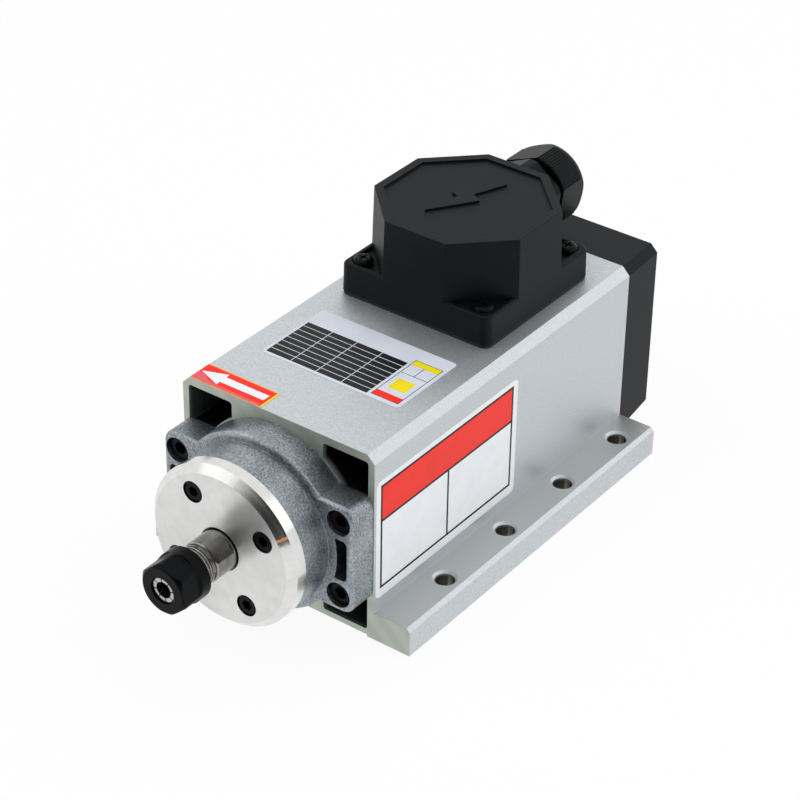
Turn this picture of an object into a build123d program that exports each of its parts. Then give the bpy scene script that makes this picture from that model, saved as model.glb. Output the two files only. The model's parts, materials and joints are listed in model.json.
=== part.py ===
from build123d import *
from math import cos, pi, radians, sin, sqrt, tan
import os

# Square air-cooled router spindle motor with an ER11 collet nose.  Millimetres.
# +Y runs from the collet nose to the fan, +Z is up, and the origin lies on the mounting face,
# in the middle of the foot holes.

# ---------------------------------------------------------------- driving dimensions
# fits between pieces
seat_gap = 0.02            # pressed or screwed-up cylindrical seats
screw_gap = 0.05           # screw thread in its tapped hole
through_gap = 0.2          # screw shank in a clearance hole
running_gap = 0.3          # turning or sliding piece beside its neighbour
ball_gap = 0.2             # ball in its race or cage pocket

# housing extrusion
body_width = 80.0
body_height = 73.0
body_length = 150.0
body_corner = 3.0
side_wall = 2.5
top_wall = 3.0
bottom_wall = 3.0
bore_cover = 5.5           # least metal between the stator bore and the top face
bore_side_cover = 9.0      # least room between the stator bore and the side face
seat_wall = 2.5
duct_start = 19.0          # the corner ducts begin this far from the middle plane
duct_corner = 1.2
web_height = 9.0           # screw webs that part the corner ducts from the side ducts
foot_width = 110.0
foot_thickness = 11.0
foot_corner = 1.4
relief_width = 75.0
relief_depth = 0.8
lead_hole_radius = 8.0

# foot holes
hole_pitch = 35.5
holes_per_side = 4
hole_radius = 3.5
hole_deburr = 0.9
front_hole_margin = 30.0

# screws that hold the end pieces to the webs
web_screw_edge = 6.2       # screw axes inside the body's sides
web_screw_drop = 22.1      # screw axes inside the body's top and bottom
screw_end_gap = 4.0        # tapped depth left beyond a screw
front_screw_radius = 2.5
rear_screw_radius = 2.0
tapped_depth = 18.0

# front bearing housing, a casting
wing_depth = 11.0
wing_inset = 0.3           # wings stop this far inside the body's sides
wing_margin = 6.4          # above and below the screw axes
wing_corner = 4.5
ring_step = 2.0            # ring outside the stator bore
hub_step = 3.0             # hub inside the ring
casting_edge = 1.5
hub_depth = 12.0
hub_draft = 2.0
hub_wall = 3.3
spigot_depth = 6.0
bearing_tube_wall = 4.0
hub_front_wall = 6.0
boss_rib = 9.0
thin_rib = 3.0
seat_lip = 3.0
seat_lip_height = 3.0
slot_margin = 6.5          # from the screw axes to the air slot
slot_wall = 2.7            # between the air slot and the body's side
slot_land = 0.2            # between the ring and the air slot
slot_corner = 1.8
front_counterbore_radius = 4.75
front_counterbore_depth = 6.5

# front cap, a turned disc
cap_overhang = 0.2
cap_thickness = 7.0
cap_chamfer = 2.7
cap_spigot = 1.5
cap_spigot_wall = 2.8
cap_bore_radius = 8.05
cap_front_wall = 3.0
cap_screw_land = 5.0       # screw axes outside the front bearing
cap_screw_angle = 31.0
cap_screw_radius = 2.0
cap_screw_length = 12.0
cap_counterbore_radius = 4.0
cap_counterbore_depth = 4.3

# bearings: two 15 x 32 x 9 in front, one 12 x 28 x 8 at the back
front_bearing_inner = 7.5
front_bearing_outer = 16.0
front_bearing_width = 9.0
front_ball_count = 11
rear_bearing_inner = 6.0
rear_bearing_outer = 14.0
rear_bearing_width = 8.0
rear_ball_count = 8
ball_radius = 2.38
ring_wall = 2.6            # thickness of each bearing ring beside its groove
cage_width = 6.0
cage_thickness = 1.2
spacer_length = 4.0
collar_length = 5.0
collar_radius = 11.6

# spindle shaft
shoulder_radius = 9.0
rotor_seat_radius = 10.0
fan_seat_radius = 5.0
thread_radius = 7.0
thread_relief = 0.7
thread_relief_depth = 0.35
nose_length = 9.5          # plain nose between cap and thread
thread_length = 12.5
flat_size = 14.0
flat_angle = 40.0
flat_length = 8.2
nose_edge = 0.4

# ER11 collet and nut
collet_radius = 5.75
collet_length = 18.0
collet_angle = 8.0
collet_seat_length = 13.0
taper_gap = 0.15
collet_groove_radius = 4.75
collet_groove_width = 1.6
collet_front_radius = 5.35
collet_face_radius = 4.4
tool_radius = 3.0
slit_count = 8
slit_angle = 11.25
slit_width = 0.4
slit_land = 3.5            # metal left at the blind end of each slit
seat_relief_radius = 4.1
seat_relief_length = 9.0
nut_length = 13.4
nut_cover = 7.1            # thread covered by the tightened nut
nut_radius = 9.5
nut_flats = 17.0
nut_hex_length = 7.3
nut_mill_radius = 1.6      # run-out of the cutter at the end of each flat
nut_hex_angle = 41.0
nut_bevel = 1.3
nut_rear_edge = 0.6
nut_opening_radius = 4.75
nut_lip = 0.9              # front wall of the nut around its opening
nut_turned_gap = 0.6       # nut web behind the collet groove to the shaft's end

# rotor and stator
stator_depth = 13.3        # from the stator bore in to the rotor
air_gap = 0.5
core_length = 84.0
core_start = 25.0          # behind the front face
end_ring_length = 6.0
end_ring_step = 0.5        # end rings inside the rotor's outside
end_ring_inner = 11.5
slot_count = 12
yoke_width = 4.5
tooth_tip = 1.8
slot_mouth = 2.2
tooth_width = 4.4
winding_gap = 0.15
winding_overhang = 12.0
winding_wall_gap = 2.6     # between the end turns and the bore
winding_lift = 0.3         # end turns outside the slot openings
winding_round = 2.5

# rear bearing plate
plate_flange = 4.0
plate_lip = 1.5
plate_spigot = 7.0
plate_rim = 4.0
plate_web = 3.0
plate_hub_wall = 4.0
plate_hub_front = 4.5      # how far the hub stands in front of the spigot
plate_ear_radius = 3.4
plate_shoulder = 2.6
spring_height = 1.5
spring_thickness = 0.5

# cooling fan
fan_clearance = 2.0        # fan inside the stator bore size
fan_hub_radius = 10.5
fan_disc = 1.5
fan_depth = 11.0
fan_blades = 9
blade_thickness = 1.6
blade_root = 1.0           # how far the blades reach into the fan's hub
blade_bow = 2.2
blade_sweep = 0.6
blade_tip_gap = 0.5
fan_plate_gap = 2.0
circlip_thickness = 0.8
circlip_height = 1.9
circlip_groove = 0.4
circlip_gap = 4.5

# rear cap, the fan cover
rear_cap_depth = 21.6
rear_cap_bottom = 1.0
rear_cap_side_draft = 1.4
rear_cap_top_draft = 0.5
rear_cap_bottom_draft = 2.2
rear_cap_wall = 2.5
rear_cap_edge = 1.0
rear_boss_radius = 5.0
rear_counterbore_radius = 3.8
rear_counterbore_depth = 10.0
grille_inner = 7.5
grille_slot = 2.6
grille_bar = 1.9
grille_rings = 4
grille_spoke = 3.2

# terminal box
box_centre = 105.2         # behind the front face
box_width = 63.0
box_corner = 3.5
box_draft = 1.38
box_wall = 2.5
box_roof = 2.0
box_height = 33.2
ledge_height = 11.0
ledge_edge = 1.2
pocket_depth = 1.2
pocket_rim = 2.2
rim_width = 3.1
rim_height = 0.8
box_pad = 2.4
box_pad_width = 28.0
gasket_thickness = 1.2
gasket_inset = 0.2
gasket_margin = 3.0
box_head_room = 0.52       # round each screw head in its corner of the box
tower_head_gap = 0.96      # between the tower's slanting wall and a screw head
box_screw_radius = 2.0
pan_head_radius = 3.6
pan_head_height = 2.5

# terminals
block_end_space = 31.0     # box width left beyond the block's ends
block_depth = 11.0
block_height = 9.0
block_wall_space = 13.0    # from the box's front to the block's middle
block_groove = 3.0
block_barrier = 1.4
terminal_count = 4
terminal_screw_radius = 1.7
terminal_head_gap = 0.32
terminal_screw_length = 4.5
lead_offset = 9.8          # the leads leave the winding this far behind the box centre
lead_radius = 1.1
lead_pitch = 4.6
lead_rise = 4.3            # above the housing, where the leads turn to the block
lead_bend = 3.5
earth_screw_x = 14.0
earth_screw_offset = 14.0

# cable gland, M20
gland_height = 19.4        # axis above the housing top
gland_thread = 10.0
gland_hex = 25.5
gland_hex_corner = 13.9
gland_hex_length = 7.3
gland_hex_angle = 25.0
gland_neck = 11.2
gland_neck_length = 6.9
finger_length = 4.8
finger_wall = 1.5
finger_count = 6
finger_slit = 1.2
locknut_flats = 24.0
locknut_thickness = 5.0
seal_radius = 8.9
seal_length = 10.4
slip_ring_thickness = 1.6
cable_radius = 5.0
dome_radius = 14.5
dome_gap = 1.3
dome_grip = 10.6
dome_round = 4.4
dome_flats = 3
dome_flat_depth = 1.7
dome_flat_angle = 112.0
dome_bevel = 2.0           # inside, at the mouth
dome_mouth = 7.6

# ---------------------------------------------------------------- sizes that follow from them
axis_height = body_height / 2
stator_seat_radius = min(axis_height - bore_cover, body_width / 2 - bore_side_cover)
hole_spacing = (body_width + foot_width) / 2
ring_radius = stator_seat_radius + ring_step
hub_radius = ring_radius - hub_step
cap_radius = hub_radius + cap_overhang
cap_screw_circle = front_bearing_outer + cap_screw_land
web_screw_x = body_width / 2 - web_screw_edge
web_screw_z = axis_height - web_screw_drop
wing_width = body_width - 2 * wing_inset
wing_height = 2 * (web_screw_z + wing_margin)
slot_height = 2 * (web_screw_z - slot_margin)
slot_outer_x = body_width / 2 - slot_wall
slot_inner_radius = ring_radius + slot_land
slot_root_radius = stator_seat_radius - yoke_width
rotor_radius = stator_seat_radius - stator_depth
end_ring_outer = rotor_radius - end_ring_step
slot_tip_radius = rotor_radius + air_gap + tooth_tip
winding_outer = stator_seat_radius - winding_wall_gap
winding_inner = slot_tip_radius + winding_lift
fan_radius = stator_seat_radius - fan_clearance
blade_tip = fan_radius - blade_tip_gap
# the corner between the box's rim and the tower's slanting wall takes a head this large
corner_room = (box_width / 2 * (sqrt(2) - 1) - sqrt(2) * pocket_rim) / (sqrt(2) + 1)
box_head_radius = corner_room - box_head_room
box_screw_spacing = (box_width + 2 * (box_head_radius + tower_head_gap)) / sqrt(2)
block_length = box_width - block_end_space
block_offset = box_width / 2 - block_wall_space

# ---------------------------------------------------------------- stations along the axis
front_face = -(front_hole_margin + (holes_per_side - 1) * hole_pitch / 2)
rear_face = front_face + body_length
cap_rear = front_face - wing_depth - hub_depth
cap_front = cap_rear - cap_thickness
bearing_a = cap_rear + cap_spigot
bearing_b = bearing_a + front_bearing_width + spacer_length
shaft_shoulder = bearing_b + front_bearing_width
core_front = front_face + core_start
core_rear = core_front + core_length
plate_rear = rear_face + plate_flange
spring_rear = plate_rear - plate_shoulder
bearing_c = spring_rear - spring_height - rear_bearing_width
fan_front = plate_rear + fan_plate_gap
fan_rear = fan_front + fan_depth
cap_wall_rear = rear_face + rear_cap_depth
thread_start = cap_front - nose_length
nose_end = thread_start - thread_length
nut_rear = nose_end + nut_cover
box_y = front_face + box_centre
box_base = body_height + gasket_thickness
gland_z = body_height + gland_height
seat_tube_radius = front_bearing_outer + bearing_tube_wall
draft = tan(radians(box_draft))
box_roof_z = box_base + box_height - rim_height - box_roof
box_rear_low = box_y + box_width / 2 - (gland_z - gland_hex_corner - box_base) * draft
box_rear_high = box_y + box_width / 2 - (box_roof_z - box_base) * draft
hex_front = box_rear_low + 0.05
hex_rear = hex_front + gland_hex_length
locknut_rear = box_rear_high - box_wall - box_pad

spindle_axis = Axis((0, 0, axis_height), (0, 1, 0))
gland_axis = Axis((0, 0, gland_z), (0, 1, 0))


# ---------------------------------------------------------------- planes and repeated pieces
def section(y, z=axis_height):
    """Cross-section plane at y: local x is +X, local y is +Z, and it faces the nose."""
    return Plane(origin=(0, y, z), x_dir=(1, 0, 0), z_dir=(0, -1, 0))


def profile(z=axis_height):
    """Half-plane for turned pieces: local x is +Y, local y is the radius."""
    return Plane(origin=(0, 0, z), x_dir=(0, 1, 0), z_dir=(1, 0, 0))


def tube(front, rear, inner, outer, z=axis_height):
    """A plain turned ring between two stations."""
    with BuildPart() as ring:
        with BuildSketch(section(rear, z)):
            Circle(outer)
            Circle(inner, mode=Mode.SUBTRACT)
        extrude(amount=rear - front)
    return ring.part


def socket_screw(radius, length, head_radius, head_height):
    """Socket cap screw: its seat at z = 0, the head up, the shank down."""
    with BuildPart() as screw:
        Cylinder(head_radius, head_height, align=(Align.CENTER, Align.CENTER, Align.MIN))
        chamfer(screw.edges().group_by(Axis.Z)[-1], head_radius * 0.08)
        with BuildSketch(Plane.XY.offset(head_height)):
            RegularPolygon(head_radius * 0.5, 6, major_radius=False)
        extrude(amount=-head_height * 0.55, mode=Mode.SUBTRACT)
        Cylinder(radius, length, align=(Align.CENTER, Align.CENTER, Align.MAX))
    return screw.part


def pan_screw(radius, length, head_radius, head_height):
    """Cross-recessed pan-head screw: its seat at z = 0, the head up, the shank down."""
    with BuildPart() as screw:
        Cylinder(head_radius, head_height, align=(Align.CENTER, Align.CENTER, Align.MIN))
        fillet(screw.edges().group_by(Axis.Z)[-1], head_height * 0.6)
        with BuildSketch(Plane.XY.offset(head_height)):
            Rectangle(head_radius * 1.1, head_radius * 0.22)
            Rectangle(head_radius * 0.22, head_radius * 1.1)
        extrude(amount=-head_height * 0.5, mode=Mode.SUBTRACT)
        Cylinder(radius, length, align=(Align.CENTER, Align.CENTER, Align.MAX))
    return screw.part


def ball_bearing(front, inner, outer, width, count):
    """Deep-groove bearing at a station: its outer ring, inner ring, balls and cage."""
    pitch = (inner + outer) / 2
    middle = front + width / 2
    groove = ball_radius + ball_gap

    with BuildPart() as outer_ring:
        with BuildSketch(profile()):
            with Locations((middle, outer - ring_wall / 2)):
                Rectangle(width, ring_wall)
            with Locations((middle, pitch)):
                Circle(groove, mode=Mode.SUBTRACT)
        revolve(axis=spindle_axis)

    with BuildPart() as inner_ring:
        with BuildSketch(profile()):
            with Locations((middle, inner + ring_wall / 2)):
                Rectangle(width, ring_wall)
            with Locations((middle, pitch)):
                Circle(groove, mode=Mode.SUBTRACT)
        revolve(axis=spindle_axis)

    with BuildPart() as balls:
        with Locations(section(middle)):
            with PolarLocations(pitch, count):
                Sphere(ball_radius)

    with BuildPart() as cage:
        add(tube(middle - cage_width / 2, middle + cage_width / 2,
                 pitch - cage_thickness / 2, pitch + cage_thickness / 2))
        with Locations(section(middle)):
            with PolarLocations(pitch, count):
                Cylinder(groove, ring_wall, rotation=(0, 90, 0), mode=Mode.SUBTRACT)
    return outer_ring.part, inner_ring.part, balls.part, cage.part


def save(piece, name):
    piece.label = name
    export_step(piece, f"parts/{name}.step")


os.makedirs("parts", exist_ok=True)

# ---------------------------------------------------------------- housing extrusion
duct_width = body_width / 2 - side_wall - duct_start
duct_height = body_height - top_wall - bottom_wall
duct_x = duct_start + duct_width / 2
duct_z = bottom_wall + duct_height / 2 - axis_height

with BuildPart() as housing_extrusion:
    with BuildSketch(section(rear_face, 0)) as outline:
        Rectangle(body_width, body_height, align=(Align.CENTER, Align.MIN))
        chamfer(outline.vertices().group_by(Axis.Y)[-1], body_corner)
        Rectangle(foot_width, foot_thickness, align=(Align.CENTER, Align.MIN))
        foot_tips = [outline.vertices().group_by(Axis.X)[end].sort_by(Axis.Y)[-1] for end in (0, -1)]
        chamfer(foot_tips, foot_corner)
        Rectangle(relief_width, relief_depth, align=(Align.CENTER, Align.MIN), mode=Mode.SUBTRACT)
        with Locations((0, axis_height)):
            Circle(stator_seat_radius, mode=Mode.SUBTRACT)
    extrude(amount=body_length)
    # air ducts: four in the corners and one behind each side
    with BuildSketch(section(rear_face)):
        with Locations((duct_x, duct_z), (-duct_x, duct_z)):
            RectangleRounded(duct_width, duct_height, duct_corner)
        Circle(stator_seat_radius + seat_wall, mode=Mode.SUBTRACT)
        with Locations((0, web_screw_z), (0, -web_screw_z)):
            Rectangle(body_width, web_height, mode=Mode.SUBTRACT)
    extrude(amount=body_length, mode=Mode.SUBTRACT)
    # tapped holes in the webs at both ends
    with BuildSketch(section(front_face)):
        with GridLocations(2 * web_screw_x, 2 * web_screw_z, 2, 2):
            Circle(front_screw_radius + screw_gap)
    extrude(amount=-tapped_depth, mode=Mode.SUBTRACT)
    with BuildSketch(section(rear_face)):
        with GridLocations(2 * web_screw_x, 2 * web_screw_z, 2, 2):
            Circle(rear_screw_radius + screw_gap)
    extrude(amount=tapped_depth, mode=Mode.SUBTRACT)
    # foot holes
    with Locations((0, 0, foot_thickness)):
        with GridLocations(hole_spacing, hole_pitch, 2, holes_per_side):
            CounterSinkHole(hole_radius, hole_radius + hole_deburr, foot_thickness, 90)
    # lead hole and terminal-box screw holes in the top
    with Locations((0, box_y + lead_offset, body_height)):
        Hole(lead_hole_radius, body_height - axis_height)
    with Locations((0, box_y, body_height)):
        with GridLocations(box_screw_spacing, box_screw_spacing, 2, 2):
            Hole(box_screw_radius + screw_gap, top_wall)
    with Locations((earth_screw_x, box_y + earth_screw_offset, body_height)):
        Hole(box_screw_radius + screw_gap, top_wall)
save(housing_extrusion.part, "housing_extrusion")

# ---------------------------------------------------------------- front bearing housing
hub_front_radius = hub_radius - hub_depth * tan(radians(hub_draft))

with BuildPart() as front_bearing_housing:
    with BuildSketch(section(front_face)) as plate:
        RectangleRounded(wing_width, wing_height, wing_corner)
        Circle(ring_radius)
    extrude(amount=wing_depth)
    fillet(front_bearing_housing.edges().group_by(Axis.Y)[0], casting_edge)
    with BuildSketch(section(front_face - wing_depth)):
        Circle(hub_radius)
    extrude(amount=hub_depth, taper=hub_draft)
    with BuildSketch(section(front_face)):
        Circle(stator_seat_radius - seat_gap)
    extrude(amount=-spigot_depth)
    # bearing seat, open to the front, with a lip behind
    with BuildSketch(section(shaft_shoulder)):
        Circle(front_bearing_outer + seat_gap)
    extrude(amount=shaft_shoulder - cap_rear, mode=Mode.SUBTRACT)
    with BuildSketch(section(front_face + spigot_depth)):
        Circle(front_bearing_outer - seat_lip_height)
    extrude(amount=spigot_depth + wing_depth + hub_depth, mode=Mode.SUBTRACT)
    with BuildSketch(section(front_face + spigot_depth)):
        Circle(hub_radius - hub_wall)
    extrude(amount=front_face + spigot_depth - shaft_shoulder - seat_lip, mode=Mode.SUBTRACT)
    # cored pockets behind the hub, parted by screw bosses and thin ribs
    with BuildSketch(section(front_face + spigot_depth)):
        Circle(hub_radius - hub_wall)
        Circle(seat_tube_radius, mode=Mode.SUBTRACT)
        with Locations(Rotation(0, 0, cap_screw_angle)):
            Rectangle(2 * hub_radius, boss_rib, mode=Mode.SUBTRACT)
            Rectangle(boss_rib, 2 * hub_radius, mode=Mode.SUBTRACT)
        with Locations(Rotation(0, 0, cap_screw_angle + 45)):
            Rectangle(2 * hub_radius, thin_rib, mode=Mode.SUBTRACT)
            Rectangle(thin_rib, 2 * hub_radius, mode=Mode.SUBTRACT)
    extrude(amount=spigot_depth + wing_depth + hub_depth - hub_front_wall, mode=Mode.SUBTRACT)
    # counterbored screw holes and the air slot between them on each wing
    with BuildSketch(section(front_face)):
        with GridLocations(2 * web_screw_x, 2 * web_screw_z, 2, 2):
            Circle(front_screw_radius + through_gap)
    extrude(amount=wing_depth, mode=Mode.SUBTRACT)
    with BuildSketch(section(front_face - wing_depth + front_counterbore_depth)):
        with GridLocations(2 * web_screw_x, 2 * web_screw_z, 2, 2):
            Circle(front_counterbore_radius)
    extrude(amount=front_counterbore_depth, mode=Mode.SUBTRACT)
    with BuildSketch(section(front_face)):
        RectangleRounded(2 * slot_outer_x, slot_height, slot_corner)
        Circle(slot_inner_radius, mode=Mode.SUBTRACT)
    extrude(amount=wing_depth, mode=Mode.SUBTRACT)
    # tapped holes for the front cap
    with BuildSketch(section(cap_rear)):
        with PolarLocations(cap_screw_circle, 4, cap_screw_angle):
            Circle(cap_screw_radius + screw_gap)
    extrude(amount=-cap_screw_length, mode=Mode.SUBTRACT)
save(front_bearing_housing.part, "front_bearing_housing")

# ---------------------------------------------------------------- front cap
spigot_outer = front_bearing_outer - seat_gap
spigot_inner = front_bearing_outer - cap_spigot_wall
recess_front = cap_front + cap_front_wall

with BuildPart() as front_cap:
    with BuildSketch(profile()):
        with BuildLine():
            Polyline((cap_front, cap_bore_radius), (cap_front, cap_radius - cap_chamfer),
                     (cap_front + cap_chamfer, cap_radius), (cap_rear, cap_radius),
                     (cap_rear, spigot_outer), (bearing_a, spigot_outer),
                     (bearing_a, spigot_inner), (recess_front, spigot_inner),
                     (recess_front, cap_bore_radius), close=True)
        make_face()
    revolve(axis=spindle_axis)
    with BuildSketch(section(cap_front)):
        with PolarLocations(cap_screw_circle, 4, cap_screw_angle):
            Circle(cap_counterbore_radius)
    extrude(amount=-cap_counterbore_depth, mode=Mode.SUBTRACT)
    with BuildSketch(section(cap_front)):
        with PolarLocations(cap_screw_circle, 4, cap_screw_angle):
            Circle(cap_screw_radius + through_gap)
    extrude(amount=-cap_thickness, mode=Mode.SUBTRACT)
save(front_cap.part, "front_cap")

cap_screw = socket_screw(cap_screw_radius, cap_screw_length, 1.75 * cap_screw_radius,
                         2 * cap_screw_radius)
with BuildPart() as front_cap_screws:
    with Locations(section(cap_front + cap_counterbore_depth)):
        with PolarLocations(cap_screw_circle, 4, cap_screw_angle):
            add(cap_screw)
save(front_cap_screws.part, "front_cap_screws")

web_screw_seat = front_face - wing_depth + front_counterbore_depth
web_screw = socket_screw(front_screw_radius, wing_depth - front_counterbore_depth + tapped_depth - screw_end_gap,
                         1.7 * front_screw_radius, 2 * front_screw_radius)
with BuildPart() as bearing_housing_screws:
    with Locations(section(web_screw_seat)):
        with GridLocations(2 * web_screw_x, 2 * web_screw_z, 2, 2):
            add(web_screw)
save(bearing_housing_screws.part, "bearing_housing_screws")

# ---------------------------------------------------------------- bearings and their spacers
bearings = {
    "front_bearing_a": (bearing_a, front_bearing_inner, front_bearing_outer,
                        front_bearing_width, front_ball_count),
    "front_bearing_b": (bearing_b, front_bearing_inner, front_bearing_outer,
                        front_bearing_width, front_ball_count),
    "rear_bearing": (bearing_c, rear_bearing_inner, rear_bearing_outer,
                     rear_bearing_width, rear_ball_count),
}
for name, sizes in bearings.items():
    for piece, part_name in zip(ball_bearing(*sizes), ("outer_ring", "inner_ring", "balls", "cage")):
        save(piece, f"{name}_{part_name}")

spacer_front = bearing_a + front_bearing_width
save(tube(spacer_front, bearing_b, front_bearing_outer - ring_wall, front_bearing_outer),
     "bearing_spacer_outer")
save(tube(spacer_front, bearing_b, front_bearing_inner, front_bearing_inner + ring_wall),
     "bearing_spacer_inner")

with BuildPart() as dust_collar:
    collar_front = bearing_a - collar_length
    with BuildSketch(profile()):
        with BuildLine():
            Polyline((collar_front, front_bearing_inner), (collar_front, cap_bore_radius + 1),
                     (collar_front + 1, collar_radius), (bearing_a - 1, collar_radius),
                     (bearing_a - 1, front_bearing_inner + ring_wall),
                     (bearing_a, front_bearing_inner + ring_wall),
                     (bearing_a, front_bearing_inner), close=True)
        make_face()
    revolve(axis=spindle_axis)
save(dust_collar.part, "dust_collar")

# ---------------------------------------------------------------- spindle shaft
front_seat = front_bearing_inner - seat_gap
rear_seat = rear_bearing_inner - seat_gap
taper = tan(radians(collet_angle))
seat_end = nose_end + collet_seat_length
seat_end_radius = collet_radius - collet_seat_length * taper
shaft_end = fan_rear + 1
end_ring_end = core_rear + end_ring_length
bearing_c_rear = bearing_c + rear_bearing_width
groove_front = fan_rear - circlip_gap
groove_rear = groove_front + circlip_thickness

with BuildPart() as spindle_shaft:
    with BuildSketch(profile()):
        with BuildLine():
            Polyline(
                # nose, thread and its run-out
                (nose_end, collet_radius), (nose_end, thread_radius - nose_edge),
                (nose_end + nose_edge, thread_radius), (thread_start - thread_relief, thread_radius),
                (thread_start - thread_relief, thread_radius - thread_relief_depth),
                (thread_start, thread_radius - thread_relief_depth),
                # front bearing seat up to its shoulder, then the rotor seat
                (thread_start, front_seat - nose_edge), (thread_start + nose_edge, front_seat),
                (shaft_shoulder, front_seat), (shaft_shoulder, shoulder_radius),
                (core_front - end_ring_length, shoulder_radius),
                (core_front - end_ring_length, rotor_seat_radius),
                (end_ring_end, rotor_seat_radius), (end_ring_end, shoulder_radius),
                # rear bearing seat, fan seat and circlip groove
                (bearing_c, shoulder_radius), (bearing_c, rear_seat),
                (fan_front, rear_seat), (fan_front, fan_seat_radius - seat_gap),
                (groove_front, fan_seat_radius - seat_gap),
                (groove_front, fan_seat_radius - circlip_groove),
                (groove_rear, fan_seat_radius - circlip_groove),
                (groove_rear, fan_seat_radius - seat_gap),
                (shaft_end - nose_edge, fan_seat_radius - seat_gap),
                (shaft_end, fan_seat_radius - seat_gap - nose_edge), (shaft_end, 0),
                # back along the axis to the tool relief and the collet seat
                (seat_end + seat_relief_length, 0), (seat_end + seat_relief_length, tool_radius),
                (seat_end, max(seat_end_radius, tool_radius)),
                close=True,
            )
        make_face()
    revolve(axis=spindle_axis)
    # wrench flats
    with BuildSketch(section(thread_start + nose_edge / 2 + flat_length)):
        with Locations(Rotation(0, 0, flat_angle)):
            with Locations((flat_size, 0), (-flat_size, 0)):
                Rectangle(flat_size, 2 * front_bearing_inner)
    extrude(amount=flat_length, mode=Mode.SUBTRACT)
save(spindle_shaft.part, "spindle_shaft")

# ---------------------------------------------------------------- collet and nut
collet_front = nose_end - (collet_length - collet_seat_length + 0.6)
collet_rear = collet_front + collet_length
cone_front = nose_end
groove_start = cone_front - collet_groove_width - 0.4
collet_back_radius = collet_radius - taper_gap - (collet_rear - cone_front) * taper

with BuildPart() as collet:
    with BuildSketch(profile()):
        with BuildLine():
            Polyline(
                (collet_front, tool_radius), (collet_front, collet_face_radius),
                (groove_start - 0.8, collet_front_radius), (groove_start, collet_front_radius),
                (groove_start, collet_groove_radius), (cone_front - 0.4, collet_groove_radius),
                (cone_front - 0.4, collet_radius - taper_gap), (cone_front, collet_radius - taper_gap),
                (collet_rear, collet_back_radius), (collet_rear, tool_radius), close=True,
            )
        make_face()
    revolve(axis=spindle_axis)
    slit_depth = collet_length - slit_land
    with BuildSketch(section(collet_front + slit_depth)):
        with PolarLocations(0, slit_count, slit_angle):
            Rectangle(collet_radius, slit_width, align=(Align.MIN, Align.CENTER))
    extrude(amount=slit_depth, mode=Mode.SUBTRACT)
    with BuildSketch(section(collet_rear)):
        with PolarLocations(0, slit_count, slit_angle + 180 / slit_count):
            Rectangle(collet_radius, slit_width, align=(Align.MIN, Align.CENTER))
    extrude(amount=slit_depth, mode=Mode.SUBTRACT)
save(collet.part, "collet")

nut_front = nut_rear - nut_length
lip_rear = groove_start - running_gap
web_rear = nose_end - nut_turned_gap
nut_bore = thread_radius + running_gap / 2

with BuildPart() as collet_nut:
    with BuildSketch(profile()):
        with BuildLine():
            Polyline(
                (nut_front, nut_opening_radius), (nut_front, nut_radius - nut_bevel),
                (nut_front + nut_bevel, nut_radius), (nut_rear - nut_rear_edge, nut_radius),
                (nut_rear, nut_radius - nut_rear_edge), (nut_rear, nut_bore),
                (web_rear, nut_bore), (web_rear, collet_groove_radius + running_gap),
                (groove_start + running_gap, collet_groove_radius + running_gap),
                (groove_start + running_gap, collet_front_radius + running_gap),
                (groove_start - 0.8, collet_front_radius + running_gap),
                (nut_front + nut_lip, nut_opening_radius), close=True,
            )
        make_face()
    revolve(axis=spindle_axis)
    # six milled flats, each ending in the cutter's round run-out
    with BuildSketch(section(nut_front + nut_hex_length)):
        Circle(2 * nut_radius)
        RegularPolygon(nut_flats / 2, 6, major_radius=False, rotation=nut_hex_angle,
                       mode=Mode.SUBTRACT)
    extrude(amount=nut_hex_length, mode=Mode.SUBTRACT)
    with Locations(section(nut_front + nut_hex_length)):
        with PolarLocations(nut_flats / 2 + nut_mill_radius, 6, nut_hex_angle + 30):
            Cylinder(nut_mill_radius, nut_radius * 1.3, rotation=(90, 0, 0), mode=Mode.SUBTRACT)
save(collet_nut.part, "collet_nut")

# ---------------------------------------------------------------- rotor
save(tube(core_front, core_rear, rotor_seat_radius + seat_gap, rotor_radius), "rotor_core")
with BuildPart() as rotor_end_rings:
    add(tube(core_front - end_ring_length, core_front, end_ring_inner, end_ring_outer))
    add(tube(core_rear, core_rear + end_ring_length, end_ring_inner, end_ring_outer))
save(rotor_end_rings.part, "rotor_end_rings")


# ---------------------------------------------------------------- stator
def slot_sketch(shrink):
    """Winding slots between parallel teeth, smaller all round by shrink."""
    tooth = tooth_width / 2 + shrink
    with BuildSketch() as slots:
        Circle(slot_root_radius - shrink)
        Circle(slot_tip_radius + shrink, mode=Mode.SUBTRACT)
        with PolarLocations(0, slot_count, 180 / slot_count):
            Rectangle(slot_root_radius, 2 * tooth, align=(Align.MIN, Align.CENTER),
                      mode=Mode.SUBTRACT)
    return slots.sketch


stator_bore = rotor_radius + air_gap
with BuildPart() as stator_core:
    with BuildSketch(section(core_rear)):
        Circle(stator_seat_radius - seat_gap)
        Circle(stator_bore, mode=Mode.SUBTRACT)
        add(slot_sketch(0), mode=Mode.SUBTRACT)
        with PolarLocations(0, slot_count):
            Rectangle(slot_tip_radius + 1, slot_mouth, align=(Align.MIN, Align.CENTER),
                      mode=Mode.SUBTRACT)
    extrude(amount=core_length)
save(stator_core.part, "stator_core")

with BuildPart() as stator_windings:
    with BuildSketch(section(core_rear + winding_overhang / 2)):
        add(slot_sketch(winding_gap))
    extrude(amount=core_length + winding_overhang)
    for near, far in ((core_front - winding_gap, core_front - winding_overhang),
                      (core_rear + winding_gap, core_rear + winding_overhang)):
        with BuildSketch(profile()) as end_turn:
            with Locations(((near + far) / 2, (winding_inner + winding_outer) / 2)):
                RectangleRounded(abs(far - near), winding_outer - winding_inner, winding_round)
        revolve(axis=spindle_axis)
save(stator_windings.part, "stator_windings")

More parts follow.
